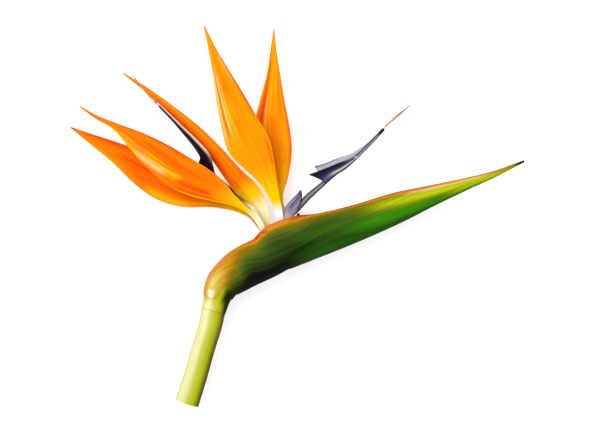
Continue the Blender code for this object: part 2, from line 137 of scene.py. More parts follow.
# A sepal is laid out along the line from its root to its tip. Edge rows: the part of that length
# and the edges to the right and left of the line; arch rows: the part of the length and the height
# over the root; fold: how steeply the left and right halves drop from the midrib.
SEPALS = {
    "sepal_far_1": {
        "root": (-18.6, -9.3, 7.4), "length": 122.0, "bearing": 151.0, "fold": (-0.25, -0.25),
        "edges": ((0.0, -2.4, 1.4), (0.06, -7.4, -3.3), (0.13, -9.2, -4.0), (0.25, -9.6, -0.1),
                  (0.38, -9.7, 8.3), (0.5, -9.3, 11.7), (0.62, -8.2, 10.3), (0.76, -5.8, 5.8),
                  (0.88, -3.0, 3.0), (1.0, -0.35, 0.35)),
        "arch": ((0.0, 0.0), (0.1, -1.4), (0.3, -4.8), (0.57, -7.0), (0.8, -6.0), (1.0, -3.0)),
    },
    "sepal_near_1": {
        "root": (-18.2, -8.9, 14.5), "length": 121.5, "bearing": 145.2, "fold": (0.3, 0.3),
        "edges": ((0.0, -2.4, 1.4), (0.06, -6.2, -2.6), (0.13, -7.4, -3.9), (0.2, -8.1, -2.2),
                  (0.28, -10.8, 1.7), (0.37, -11.7, 6.0), (0.46, -11.1, 8.2), (0.6, -9.7, 6.8),
                  (0.72, -7.1, 3.0), (0.82, -3.9, 0.1), (0.92, -1.1, 0.8), (1.0, -0.3, 0.4)),
        "arch": ((0.0, 0.0), (0.1, 1.6), (0.3, 8.5), (0.6, 16.0), (0.8, 19.0), (1.0, 20.5)),
    },
    "sepal_top_1": {
        "root": (-16.8, -8.2, 8.9), "length": 117.8, "bearing": 132.0, "fold": (0.6, 0.3),
        "edges": ((0.0, -2.2, 1.6), (0.04, -7.0, 0.6), (0.1, -11.0, 0.0), (0.18, -13.4, -0.6),
                  (0.3, -12.6, -2.4), (0.45, -12.5, -4.6), (0.6, -11.0, -4.9), (0.75, -7.9, -3.8),
                  (0.88, -4.4, -1.8), (1.0, -0.35, 0.35)),
        "arch": ((0.0, 0.0), (0.15, 0.3), (0.35, 2.0), (0.6, 3.6), (1.0, 6.5)),
    },
    "sepal_near_2": {
        "root": (-8.7, -5.2, 14.5), "length": 117.0, "bearing": 110.9, "fold": (0.3, 0.3),
        "edges": ((0.0, -2.0, 1.8), (0.05, -3.2, 0.7), (0.16, -5.6, 0.8), (0.23, -7.3, 2.8),
                  (0.31, -9.5, 7.1), (0.37, -10.8, 10.6), (0.42, -11.0, 12.3), (0.52, -9.0, 11.3),
                  (0.65, -6.6, 8.5), (0.77, -4.0, 5.2), (0.88, -1.7, 2.7), (1.0, -0.35, 0.35)),
        "arch": ((0.0, 0.0), (0.1, 1.2), (0.3, 6.5), (0.6, 15.0), (0.8, 19.0), (1.0, 21.0)),
    },
    "sepal_top_2": {
        "root": (-7.4, -4.3, 8.9), "length": 107.8, "bearing": 92.9, "fold": (0.3, 0.3),
        "edges": ((0.0, -1.8, 1.8), (0.08, -1.0, 3.4), (0.15, -0.4, 5.2), (0.23, -3.2, 8.2),
                  (0.32, -5.6, 11.6), (0.4, -6.5, 13.3), (0.5, -5.8, 13.6), (0.65, -3.6, 9.4),
                  (0.78, -2.2, 4.9), (0.9, -0.8, 2.4), (1.0, -0.3, 0.3)),
        "arch": ((0.0, 0.0), (0.5, 2.6), (1.0, 5.0)),
    },
    "sepal_far_2": {
        "root": (-8.7, -5.2, 7.4), "length": 101.0, "bearing": 110.5, "fold": (-0.25, -0.25),
        "edges": ((0.0, -1.8, 1.6), (0.1, -3.4, 0.2), (0.25, -6.0, 2.2), (0.42, -8.4, 8.2),
                  (0.55, -7.0, 8.4), (0.7, -4.6, 6.0), (0.85, -2.0, 3.2), (1.0, -0.3, 0.3)),
        "arch": ((0.0, 0.0), (0.15, -0.8), (0.5, -5.2), (0.8, -5.4), (1.0, -4.0)),
    },
}

# The two fused petals of a floret make an arrow-shaped gutter round the style: the place of the
# keel, of the near edge and of the far edge, each along and to the left of the line from root to
# tip, and half the gutter's width. The barbs are the rows where the edges jump back.
ARROWS = {
    "arrow_petals_1": {
        "root": (-17.7, -9.3, 11.6), "bearing": 129.8, "rise": 9.5,
        "rows": ((0.0, -0.6, 0.0, 1.0, 0.0, 1.0, 1.0), (12.0, -1.3, 12.0, 0.9, 12.0, 0.9, 1.1),
                 (30.0, -1.9, 30.0, 0.6, 30.0, 0.6, 1.1), (42.5, -0.2, 43.0, 1.8, 44.5, 1.9, 1.2),
                 (46.5, -1.8, 44.2, 2.2, 52.6, 3.6, 1.7), (55.0, -4.9, 54.5, -0.4, 55.6, 0.3, 1.5),
                 (65.0, -4.3, 65.0, -1.0, 65.0, -0.7, 1.3),
                 (77.0, -2.8, 77.0, -0.9, 77.0, -0.7, 1.15),
                 (91.0, -1.5, 91.0, 0.1, 91.0, 0.1, 1.1)),
    },
    "arrow_petals_2": {
        "root": (-4.6, -2.4, 11.0), "bearing": 44.6, "rise": 3.0,
        "rows": ((-4.4, 0.6, -4.4, 2.6, -4.4, 2.6, 1.0), (7.0, 0.5, 7.0, 3.5, 7.0, 3.5, 1.1),
                 (17.0, 0.9, 17.0, 4.1, 17.0, 4.1, 1.1), (28.0, 0.6, 30.0, 2.7, 31.0, 2.7, 1.2),
                 (31.5, 0.5, 25.9, 11.0, 31.5, 12.2, 2.2), (37.0, 0.1, 32.5, 8.0, 36.0, 9.6, 2.2),
                 (44.0, -1.3, 41.5, 4.2, 44.0, 6.2, 1.7), (52.0, -1.6, 51.0, 0.6, 52.0, 2.6, 1.3),
                 (62.0, -1.5, 62.0, 0.4, 62.0, 0.7, 1.15), (73.0, -1.0, 73.0, 0.6, 73.0, 0.6, 1.1)),
    },
}

# Short blades, laid out as a sepal is: the hooded petal over each nectary, and the papery bract
# behind the second floret.
BLADES = {
    "nectar_petal_1": {
        "root": (-17.9, -9.3, 13.5), "length": 22.0, "bearing": 124.0,
        "edges": ((0.0, -1.5, 1.3), (0.35, -2.9, 1.0), (0.7, -3.6, 1.4), (1.0, -0.6, 0.6)),
        "rise": 2.4,
    },
    "nectar_petal_2": {
        "root": (-6.9, -4.0, 13.1), "length": 21.0, "bearing": 65.0,
        "edges": ((0.0, -1.2, 1.2), (0.25, -2.2, 3.3), (0.43, -2.9, 3.8), (0.73, -2.8, 2.1),
                  (0.9, -1.8, 0.8), (1.0, -0.3, 0.4)),
        "rise": 0.8,
    },
    "bracteole_2": {
        "root": (-0.3, -16.75, MID_Z), "length": 19.2, "bearing": 87.0,
        "edges": ((0.0, -1.6, 1.6), (0.5, -2.2, 2.2), (0.85, -1.5, 1.5), (1.0, -0.5, 0.5)),
        "rise": 0.0,
    },
}

# Style and stigma of each floret: places along and to the left of its arrow's own line, and radius.
STYLES = {
    "style_1": ((52.0, -2.5, 0.35), (76.0, -1.9, 0.35), (91.6, -0.55, 0.35), (94.5, -0.4, 0.8),
                (98.0, 0.2, 0.6), (102.0, 0.3, 0.4), (109.0, 0.0, 0.35), (114.4, -0.5, 0.15)),
    "style_2": ((40.0, 0.8, 0.35), (52.0, 0.0, 0.35), (62.0, -0.5, 0.35), (73.4, -0.1, 0.35),
                (75.6, 0.2, 0.7), (84.0, -0.4, 0.7), (92.8, -1.3, 0.2)),
}

# Unopened florets folded away in the spathe: x, y, z and radius, from the rachis on.
BUDS = {
    "bud_3": ((2.5, -19.2, 11.9, 1.0), (16.0, -10.8, 13.7, 2.7), (34.0, -4.2, 12.9, 2.6),
              (60.0, 6.2, 11.4, 1.2), (72.0, 10.6, 10.9, 0.3)),
    "bud_4": ((2.5, -19.5, 8.9, 1.0), (16.0, -12.6, 7.2, 2.3), (30.0, -6.8, 7.6, 2.2),
              (50.0, 1.2, 8.8, 1.0), (60.0, 5.0, 9.6, 0.3)),
}

# ---- skins and stage ----------------------------------------------------------------------------
MOTTLE_TINT = (0.86, 0.84, 0.80, 1.0)   # what the blotches multiply a skin's colour by
RIB_DULLING = 0.12      # how much duller the ribs between the veins are than the furrows
RIB_HEIGHT = 0.25       # height of the ribs in mm
TABLE_BLOTCH = 60.0     # size of the table's blotches in mm
TABLE_DULLING = 0.97    # what they multiply the table's white by
CAMERA_SPOT = (4.84, -0.55)             # x, y in mm that the camera looks straight down on
LAMP_PLACE = (-0.6, 0.5, 1.0)           # place of the key light in metres
LAMP_WIDTH = 0.8        # its width in metres

# ---- tints painted on the pieces ----------------------------------------------------------------
SEPAL_TINTS = ("blush_and_shade", "gold", "pale", "dusk")
SPATHE_TINTS = ("leaf", "lime", "amber", "butter", "peach", "shine", "night", "gleam")
STEM_TINTS = ("gold", "pale", "brown", "shade")
ARROW_TINTS = ("olive", "gold", "lilac", "wine", "ink_and_shade", "navy", "slate", "cream", "rust")

# Strokes run along a piece. Each tint has rows of start a, start t, end a, end t, half width in t
# and strength. A stroke that goes on past the piece's own end doesn't fade there.
# On the sepals, blush_and_shade strokes are red-orange edges and also painted shade and shadows.
# Pale strokes on the sepals are painted highlights.
SEPAL_STROKES = {
    "sepal_far_1": {
        "gold": ((0.6, 0.75, 0.22, 0.8, 0.3, 0.8), (0.95, 0.9, 0.6, 1.0, 0.2, 0.35),
                 (0.42, 0.62, 0.12, 0.66, 0.06, 0.8)),
        # Its second red-orange stroke is a painted shadow under the edge of the near sepal above.
        "blush_and_shade": ((1.02, -0.95, 0.6, -1.0, 0.5, 1.0), (0.8, 0.0, 0.36, -0.25, 0.4, 0.7),
                  (0.5, 0.25, 0.2, 0.1, 0.1, 0.7), (0.4, 0.82, 0.12, 0.86, 0.05, 0.6),
                  (0.75, 0.3, 0.25, 0.3, 0.35, 0.45)),
        "dusk": ((0.965, 0.0, 1.1, 0.0, 1.5, 0.8),),
    },
    "sepal_near_1": {
        "pale": ((0.7, 0.8, 0.5, 0.48, 0.15, 0.9), (0.8, 0.3, 0.62, 0.32, 0.04, 0.5)),
        "blush_and_shade": ((0.9, -0.2, 0.33, 0.18, 0.06, 0.35), (0.98, -0.95, 0.4, -1.0, 0.18, 0.9),
                  (0.5, 0.82, 0.14, 0.8, 0.09, 0.9), (0.48, 0.48, 0.28, 0.46, 0.16, 0.8),
                  (0.72, 0.4, 0.44, 0.1, 0.05, 0.6), (0.66, -0.35, 0.3, -0.15, 0.05, 0.6),
                  (0.72, -0.36, 0.34, -0.2, 0.18, 0.45)),
        "gold": ((0.9, 0.85, 0.62, 0.9, 0.3, 0.8), (0.68, 0.3, 0.42, 0.28, 0.22, 0.85),
                 (0.47, 0.99, 0.12, 0.99, 0.07, 1.0), (0.97, 0.0, 1.2, 0.0, 1.5, 0.8)),
        "dusk": ((0.19, -1.0, 0.1, -0.7, 0.14, 0.9),),
    },
    "sepal_top_1": {
        "blush_and_shade": ((0.92, 0.75, 0.17, 0.72, 0.34, 0.9), (0.8, -0.97, 0.3, -1.0, 0.08, 0.5),
                  (0.7, 0.1, 0.35, 0.05, 0.08, 0.45), (0.3, 0.3, 0.13, 0.45, 0.1, 0.6)),
        "gold": ((0.95, -0.45, 0.18, -0.5, 0.14, 0.4), (0.22, -0.85, 0.03, -0.9, 0.22, 0.8)),
        "dusk": ((0.24, 0.98, 0.09, 0.45, 0.16, 1.0),),
        "pale": ((0.13, -0.1, 0.01, -0.2, 0.5, 0.5),),
    },
    "sepal_near_2": {
        "pale": ((0.86, 0.88, 0.4, 0.86, 0.035, 1.0), (0.82, 0.64, 0.44, 0.52, 0.035, 1.0),
                 (0.78, 0.5, 0.5, 0.38, 0.025, 0.8), (0.87, -0.58, 0.7, -0.7, 0.04, 0.7)),
        "blush_and_shade": ((0.97, -0.98, 0.48, -1.0, 0.16, 0.95), (0.86, 0.76, 0.46, 0.7, 0.05, 0.6),
                  (0.92, 0.15, 0.62, 0.1, 0.2, 0.35), (0.6, 0.1, 0.2, 0.05, 0.05, 0.45),
                  (0.45, -0.8, 0.14, -0.86, 0.07, 0.6)),
        "gold": ((1.0, 0.98, 0.34, 0.98, 0.08, 0.8), (0.66, 0.45, 0.4, 0.4, 0.2, 0.35),
                 (0.3, -0.55, 0.12, -0.6, 0.08, 0.7)),
    },
    "sepal_top_2": {
        # Its third red-orange stroke is a painted shadow along the near sepal's edge, over a
        # crease.
        "blush_and_shade": ((0.97, 0.62, 0.44, 0.66, 0.2, 0.95), (0.95, -0.98, 0.22, -1.0, 0.14, 0.8),
                  (0.5, 0.3, 0.06, -0.42, 0.05, 0.9), (0.6, -0.05, 0.25, -0.1, 0.3, 0.35),
                  (0.86, -0.6, 0.5, -0.62, 0.05, 0.5)),
        "pale": ((0.68, 0.37, 0.46, 0.37, 0.04, 0.6),),
        "gold": ((0.94, 0.97, 0.46, 0.98, 0.1, 0.7), (0.94, -0.22, 0.62, -0.28, 0.14, 0.5),
                 (0.34, -0.6, 0.12, -0.7, 0.16, 0.6)),
    },
    "sepal_far_2": {
        "blush_and_shade": ((0.95, 0.7, 0.3, 0.6, 0.35, 0.7),),
        "gold": ((0.9, -0.3, 0.3, -0.4, 0.3, 0.6),),
    },
}

# Lengthwise folds of a sepal, as rows of the same kind, with a height in mm for the strength.
SEPAL_FOLDS = {
    "sepal_far_1": ((0.8, 0.1, 0.2, 0.1, 0.16, -0.5), (0.6, 0.7, 0.2, 0.6, 0.12, 0.4)),
    "sepal_near_1": ((0.9, -0.15, 0.25, 0.2, 0.1, -0.7), (0.72, 0.75, 0.45, 0.45, 0.18, 0.6),
                     (0.5, 0.85, 0.14, 0.82, 0.08, -0.4), (0.75, -0.5, 0.3, -0.45, 0.1, 0.3)),
    "sepal_top_1": ((0.9, 0.45, 0.2, 0.4, 0.12, -0.4), (0.9, -0.45, 0.2, -0.5, 0.12, 0.4)),
    "sepal_near_2": ((0.84, 0.86, 0.4, 0.84, 0.06, 0.4), (0.8, 0.62, 0.42, 0.5, 0.08, 0.6),
                     (0.82, 0.74, 0.42, 0.67, 0.06, -0.4), (0.87, -0.58, 0.62, -0.7, 0.07, 0.3)),
    "sepal_top_2": ((0.9, 0.62, 0.4, 0.62, 0.14, -0.5), (0.5, 0.3, 0.1, -0.42, 0.06, -0.4),
                    (0.8, 0.1, 0.35, 0.05, 0.12, 0.4)),
    "sepal_far_2": ((0.85, 0.2, 0.25, 0.2, 0.14, -0.4),),
}

# How far the pale claw and then the gold reach up each sepal, as parts of its length.
CLAW_REACH = {
    "sepal_far_1": (0.04, 0.12, 0.30), "sepal_near_1": (0.05, 0.14, 0.32),
    "sepal_top_1": (0.09, 0.17, 0.28), "sepal_near_2": (0.06, 0.125, 0.33),
    "sepal_top_2": (0.05, 0.11, 0.26), "sepal_far_2": (0.07, 0.14, 0.30),
}

# Tone of the spathe's skin, from the near black keel (0), its dark green with painted shade on the
# underside, over moss (0.35), olive (0.5) and amber (0.74) to the red margin (1): a row for each
# row of SPATHE and one past its tip, and a value for each stop of |t|. The first row serves the
# foot too.
SKIN_STOPS = (0.0, 0.15, 0.3, 0.45, 0.6, 0.72, 0.84, 0.93, 1.0)
SKIN_TONE_AND_SHADE = (
    (0.10, 0.22, 0.38, 0.55, 0.66, 0.70, 0.72, 0.74, 0.76),
    (0.06, 0.14, 0.36, 0.58, 0.68, 0.72, 0.74, 0.76, 0.76),
    (0.02, 0.06, 0.32, 0.58, 0.70, 0.73, 0.75, 0.76, 0.78),
    (0.00, 0.04, 0.24, 0.50, 0.66, 0.72, 0.76, 0.78, 0.84),
    (0.00, 0.02, 0.12, 0.31, 0.45, 0.59, 0.73, 0.82, 0.94),
    (0.00, 0.03, 0.12, 0.27, 0.36, 0.42, 0.57, 0.87, 1.00),
    (0.00, 0.06, 0.12, 0.26, 0.32, 0.35, 0.52, 0.84, 1.00),
    (0.02, 0.06, 0.12, 0.17, 0.30, 0.40, 0.60, 0.80, 0.98),
    (0.03, 0.08, 0.16, 0.28, 0.33, 0.40, 0.56, 0.82, 1.00),
    (0.06, 0.11, 0.17, 0.30, 0.38, 0.50, 0.62, 1.00, 1.00),
    (0.12, 0.19, 0.22, 0.34, 0.38, 0.54, 0.78, 0.98, 1.00),
    (0.12, 0.22, 0.28, 0.38, 0.48, 0.72, 0.80, 0.90, 1.00),
    (0.18, 0.28, 0.34, 0.42, 0.54, 0.70, 0.76, 0.86, 1.00),
    (0.30, 0.34, 0.38, 0.48, 0.62, 0.70, 0.80, 0.92, 1.00),
    (0.34, 0.38, 0.42, 0.50, 0.62, 0.74, 0.90, 1.00, 1.00),
    (1.00, 1.00, 1.00, 1.00, 1.00, 1.00, 1.00, 1.00, 1.00),
)

# Strokes on the spathe run over its rows, from -1 at the foot, and |t|, from the keel to a margin.
SPATHE_STROKES = {
    "lime": ((-2.6, 0.47, 2.3, 0.45, 0.08, 1.0), (8.9, 0.7, 14.0, 0.44, 0.11, 1.0),
             (11.0, 0.44, 14.8, 0.28, 0.13, 0.8)),
    "butter": ((-3.0, 0.66, 2.9, 0.68, 0.12, 0.95), (10.0, 0.78, 13.4, 0.66, 0.06, 0.9)),
    "peach": ((-0.6, 0.92, 4.0, 0.96, 0.12, 1.0), (0.2, 1.0, 4.4, 1.0, 0.06, 0.8),
              (9.8, 0.9, 13.6, 0.86, 0.04, 0.7), (5.2, 1.0, 7.2, 1.0, 0.04, 0.8)),
    "amber": ((0.4, 0.52, 2.6, 0.54, 0.06, 0.9),),
    # Shine is a painted highlight on the bend of the neck.
    "shine": ((0.15, 0.665, 1.15, 0.665, 0.06, 1.0),),
    "leaf": ((8.0, 0.48, 14.6, 0.1, 0.17, 0.95), (6.4, 0.58, 9.6, 0.54, 0.08, 0.25),
             (5.6, 0.26, 15.2, 0.12, 0.2, 0.38)),
    "night": ((13.6, 0.5, 14.8, 0.5, 0.9, 1.0),),
    # Gleam is a painted reflection along the keel.
    "gleam": ((3.4, 0.02, 9.8, 0.03, 0.04, 0.1),),
}

# Strokes on the stem run over a and c: c is -1 on the inside of the bend and 1 on the outside.
# The pale strokes are a painted highlight on the lit side, the brown stroke the stem's own flush
# with painted shade on the inside of the bend, and the shade strokes painted shade in its crook.
STEM_STROKES = {
    "pale": ((-0.4, 0.62, 1.3, 0.6, 0.5, 0.85), (0.1, 0.45, 0.8, 0.45, 0.12, 0.6)),
    "brown": ((-0.4, -1.0, 1.3, -1.0, 0.32, 1.0),),
    "gold": ((-0.4, 1.03, 1.6, 1.03, 0.13, 0.9), (0.62, 0.1, 1.3, 0.1, 0.5, 0.2)),
    "shade": ((0.66, -1.1, 1.5, -0.45, 0.3, 1.0), (0.64, -1.2, 1.7, -1.2, 0.45, 1.0)),
}

# Strokes on the arrows run over their rows and w: w is 0 on the keel, 1 on the near wing's edge and
# -1 on the far wing's edge.
ARROW_STROKES = {
    "arrow_petals_1": {
        "wine": ((-0.5, 0.6, 9.0, 0.6, 0.6, 1.0), (-0.5, -0.6, 9.0, -0.6, 0.6, 1.0)),
        "ink_and_shade": ((2.4, 0.7, 5.8, 0.7, 0.7, 1.0), (2.4, -0.6, 5.8, -0.6, 0.7, 1.0),
                (4.4, 0.62, 8.4, 0.55, 0.24, 0.95)),
        "cream": ((4.2, 0.02, 8.6, 0.16, 0.18, 1.0), (4.2, -0.02, 8.6, -0.16, 0.18, 0.9),
                  (-3.0, 0.0, 1.7, 0.0, 2.5, 1.0)),
    },
    "arrow_petals_2": {
        "gold": ((-0.6, 0.5, 3.6, 0.46, 0.14, 1.0),),
        "olive": ((-0.6, 0.95, 3.4, 0.92, 0.24, 0.9), (-0.6, -0.7, 3.4, -0.7, 0.4, 0.7)),
        # The black of the near wing is partly its own dark blue and partly painted shade.
        "ink_and_shade": ((2.9, 0.8, 7.0, 0.72, 0.32, 1.0), (3.3, 0.5, 5.4, 0.62, 0.22, 1.0),
                (6.4, 0.66, 9.4, 0.66, 0.16, 0.9), (2.9, 0.34, 5.0, 0.62, 0.3, 1.0),
                (8.5, 0.5, 9.6, 0.5, 1.5, 0.9)),
        "lilac": ((3.0, -0.7, 8.4, -0.7, 0.8, 1.0), (6.8, 0.95, 9.2, 0.95, 0.14, 0.8),
                  (6.6, 0.36, 8.9, 0.34, 0.1, 0.7)),
        "cream": ((4.6, 0.2, 7.0, 0.3, 0.08, 0.6), (6.84, 0.45, 7.08, 0.45, 0.3, 0.5)),
        "navy": ((2.6, -0.6, 3.7, -0.4, 0.5, 0.7), (3.2, 0.46, 7.2, 0.5, 0.12, 1.0),
                 (-0.4, 0.04, 9.0, 0.04, 0.12, 0.9), (2.8, -0.92, 6.6, -0.95, 0.07, 0.7)),
    },
}

# Strokes on the short blades, as on the sepals.
BLADE_STROKES = {
    "nectar_petal_1": {
        "cream": ((-0.9, 0.0, 1.2, 0.0, 3.0, 1.0),),
        "wine": ((0.6, -0.95, 1.02, -0.6, 0.3, 0.9), (0.84, 0.2, 1.25, 0.2, 0.9, 0.9)),
        "lilac": ((0.66, -0.35, 0.92, -0.2, 0.25, 0.9),),
        "rust": ((-0.5, 1.0, 1.1, 1.0, 0.45, 1.0),),
    },
    "nectar_petal_2": {
        "lilac": ((-0.5, 0.0, 1.0, 0.0, 1.2, 0.4),),
        "cream": ((-1.4, 0.0, 0.42, 0.0, 2.0, 1.0),),
        "navy": ((0.8, -0.5, 1.4, -0.4, 0.7, 1.0), (0.36, 0.35, 0.95, 0.05, 0.13, 0.9),
                 (0.45, -0.95, 0.95, -0.9, 0.14, 0.7)),
        "rust": ((0.3, 1.0, 1.1, 0.95, 0.14, 0.6),),
        "slate": ((0.38, 0.0, 0.95, -0.25, 0.14, 0.8),),
    },
    "bracteole_2": {
        "ink_and_shade": ((0.8, 0.0, 1.3, 0.0, 1.5, 0.5),),
    },
}


class FLOWER_PG_colours(bpy.types.PropertyGroup):
    """Colours of the flower's skins."""


class FLOWER_PG_sizes(bpy.types.PropertyGroup):
    """Thicknesses of the flower's sheets."""


class FLOWER_PG_stage(bpy.types.PropertyGroup):
    """Table, lights and camera."""


def to_linear(level):
    """Turn an 8-bit display level into a linear one, by the sRGB curve."""
    level /= 255.0
    return level / 12.92 if level <= 0.04045 else ((level + 0.055) / 1.055) ** 2.4


# Each colour's name, label, description and default as 8-bit display levels.
COLOURS = (
    ("sepal_orange", "Sepal orange", "Main colour of the first floret's sepals", 255, 136, 0),
    ("sepal_saffron", "Sepal saffron", "Main colour of the second floret's sepals", 255, 168, 0),
    ("sepal_lemon", "Sepal lemon", "Clear yellow next to the claws", 255, 222, 0),
    # Red-orange of the edges; the same tint lays painted shade in creases and painted shadows
    ("sepal_blush_and_shade", "Sepal blush", "Red-orange of the sepals' edges and creases", 246, 72, 0),
    ("sepal_gold", "Sepal gold", "Yellow above the claws and along some edges", 255, 204, 0),
    # Painted highlights: pale streaks on the folds and a pale patch on the near sepal.
    ("sepal_highlight", "Sepal highlight", "Pale streaks on the sepals", 255, 222, 150),
    ("sepal_dusk", "Sepal dusk", "Dark smudge beside the first arrow", 104, 70, 66),
    ("claw_cream", "Claw cream", "Pale base of the first floret", 255, 250, 196),
    ("claw_white", "Claw white", "Pale base of the second floret", 255, 254, 250),
    # Near black of the tip, and of the keel: its dark green with painted shade on the underside.
    ("spathe_black_and_shade", "Spathe keel", "Almost black underside of the spathe", 3, 3, 2),
    ("spathe_deep", "Spathe deep green", "Dark green above the keel", 26, 32, 8),
    ("spathe_moss", "Spathe moss", "Moss green of the flanks", 56, 82, 20),
    ("spathe_olive", "Spathe olive", "Olive brown under the margin", 104, 108, 8),
    ("spathe_mustard", "Spathe mustard", "Mustard between the olive and the amber", 150, 112, 0),
    ("spathe_leaf", "Spathe leaf green", "Bright green towards the tip", 60, 150, 0),
    ("spathe_lime", "Spathe lime", "Yellow-green near the tip", 200, 214, 0),
    ("spathe_amber", "Spathe amber", "Amber band under the margin", 208, 146, 8),
    ("spathe_peach", "Spathe peach", "Peach band along the margin and the neck", 236, 146, 88),
    ("spathe_flame", "Spathe flame", "Red-orange under the margin", 214, 84, 22),
    ("spathe_rim", "Spathe rim", "Red of the margin", 178, 26, 8),
    ("spathe_butter", "Spathe butter", "Pale yellow of the neck", 236, 222, 116),
    ("spathe_shine", "Spathe shine", "Waxy highlight on the bend", 255, 248, 226),
    ("spathe_lining", "Spathe lining", "Pale inside of the spathe", 214, 190, 110),
    ("stem_lime", "Stem lime", "Yellow-green of the stem", 188, 198, 2),
    # Painted highlight down the stem's lit side.
    ("stem_highlight", "Stem highlight", "Pale waxy side of the stem", 238, 236, 188),
    # Partly the stem's own brown flush, partly painted shade on its dark side inside the bend.
    ("stem_flush_and_shade", "Stem brown", "Brown of the stem on the inside of the bend", 92, 52, 8),
    # Painted shade on the stem in the crook of the bend.
    ("stem_shade", "Stem shade", "Dark green of the stem in the crook of the bend", 34, 34, 2),
    ("stem_core", "Stem core", "Wet fibres of the cut end", 226, 226, 150),
    ("arrow_slate", "Arrow slate", "Slate blue of the arrow petals", 88, 88, 134),
    # Near black of the wings and barbs, with painted shade on the second arrow's near wing.
    ("arrow_black_and_shade", "Arrow ink", "Black of the wings and barbs", 10, 5, 14),
    ("arrow_navy", "Arrow navy", "Navy lines along the wings and the keel", 44, 36, 96),
    ("arrow_lilac", "Arrow lilac", "Pale lilac inside of the far wing", 222, 214, 222),
    ("arrow_wine", "Arrow wine", "Brown purple of the first arrow", 66, 16, 20),
    ("arrow_cream", "Arrow cream", "Cream line on the keel", 248, 240, 206),
    ("arrow_gold", "Arrow gold", "Gold line on the stalk", 186, 164, 84),
    ("arrow_olive", "Arrow olive", "Olive brown edge of the stalk", 84, 72, 48),
    ("arrow_rust", "Arrow rust", "Red-brown edge of the nectar petals", 214, 74, 30),
    ("stigma_tan", "Stigma tan", "Tan of the stigmas", 196, 140, 74),
    ("stigma_pale", "Stigma pale", "Pale pollen on the stigmas", 236, 214, 176),
    ("ovary_cream", "Ovary cream", "Flesh of the ovaries", 240, 232, 190),
    ("bud_cream", "Bud cream", "Folded florets inside the spathe", 236, 206, 120),
    ("bract_red", "Bract red", "Dark red of the small bract", 132, 26, 12),
    ("table_white", "Table white", "White of the table", 214, 214, 214),
)
for key, label, description, *levels in COLOURS:
    FLOWER_PG_colours.__annotations__[key] = bpy.props.FloatVectorProperty(
        name=label, description=description, subtype="COLOR", size=3, min=0.0, max=1.0,
        default=[to_linear(level) for level in levels])

# Each thickness's name, label, description and default in mm.
SIZES = (
    ("sepal_wall", "Sepal thickness", "Thickness of a sepal along its midrib", 0.75),
    ("arrow_wall", "Arrow thickness", "Thickness of the arrow petals", 0.5),
    ("blade_wall", "Blade thickness", "Thickness of the nectar petals and the small bract", 0.55),
    ("spathe_wall", "Spathe thickness", "Thickness of the spathe's wall", 1.4),
)
for key, label, description, length in SIZES:
    FLOWER_PG_sizes.__annotations__[key] = bpy.props.FloatProperty(
        name=label, description=description, default=length * MM, min=0.1 * MM, max=3.0 * MM,
        precision=5, subtype="DISTANCE", unit="LENGTH")

# Each of the stage's values: name, label, description, default and unit.
STAGE = (
    ("table_side", "Table side", "Length of the table's side", 4.0, "LENGTH"),
    ("camera_height", "Camera height", "Height of the camera over the table", 1.612, "LENGTH"),
    ("lens", "Lens", "Focal length of the camera in mm", 171.1, "NONE"),
    ("sky", "Room light", "Brightness of the white room", 0.75, "NONE"),
    ("key", "Key light", "Power of the soft light at the upper left in watts", 10.0, "NONE"),
    ("glow", "Table glow", "Light that the table itself gives off", 0.95, "NONE"),
)
for key, label, description, value, unit in STAGE:
    FLOWER_PG_stage.__annotations__[key] = bpy.props.FloatProperty(
        name=label, description=description, default=value, min=0.0, soft_max=10.0 * value + 1.0,
        unit=unit)


# ---- curves and sheets --------------------------------------------------------------------------
def read_curve(rows, at, eased=False):
    """Read a smooth curve through rows (position, value, ...) at an array of positions.

    An eased curve never swings past its rows, so a row where it turns back stays a sharp corner.
    """
    table = np.array(rows, float)
    spots, values = table[:, 0], table[:, 1:]
    slopes = np.gradient(values, spots, axis=0)
    if eased:
        leans = np.diff(values, axis=0) / np.diff(spots)[:, None]
        turns = leans[:-1] * leans[1:]
        sums = leans[:-1] + leans[1:] + 1e-12
        slopes[1:-1] = np.where(turns > 0.0, 2.0 * turns / sums, 0.0)
    at = np.clip(np.asarray(at, float), spots[0], spots[-1])
    k = np.clip(np.searchsorted(spots, at, side="right") - 1, 0, len(spots) - 2)
    step = (spots[k + 1] - spots[k])[:, None]
    u = (at - spots[k])[:, None] / step
    return ((2 * u**3 - 3 * u**2 + 1) * values[k] + (u**3 - 2 * u**2 + u) * step * slopes[k]
            + (3 * u**2 - 2 * u**3) * values[k + 1] + (u**3 - u**2) * step * slopes[k + 1])


def numbered(rows):
    """Put each row's own number in front of it, as its position along the piece."""
    return [(float(number), *row) for number, row in enumerate(rows)]


def ease(value):
    """Ease from 0 to 1 as the value goes from 0 to 1."""
    value = np.clip(value, 0.0, 1.0)
    return value * value * (3.0 - 2.0 * value)


def unit(vectors):
    """Scale every row to length 1."""
    return vectors / np.linalg.norm(vectors, axis=1)[:, None]


def stroke(a, t, start_a, start_t, end_a, end_t, half_width, strength=1.0):
    """How strongly a lengthwise stroke covers each point: full on its line, 0 well away from it."""
    u = (a - start_a) / (end_a - start_a)
    line = start_t + (end_t - start_t) * u
    ends = ease(u / STROKE_END) * ease((1.0 - u) / STROKE_END)
    return strength * (ends * np.exp(-((t - line) / half_width) ** 2))


def paint_strokes(a, t, strokes, tints):
    """Gather the strokes of each tint into one mask."""
    masks = {tint: np.zeros(len(a)) for tint in tints}
    for tint, rows in strokes.items():
        for row in rows:
            masks[tint] = np.maximum(masks[tint], stroke(a, t, *row))
    return masks


def lay_grain(along, across, layer=0.0):
    """The points' places in mm in the pattern of veins, which run along its first axis."""
    return np.stack(np.broadcast_arrays(along, across, layer), axis=1)


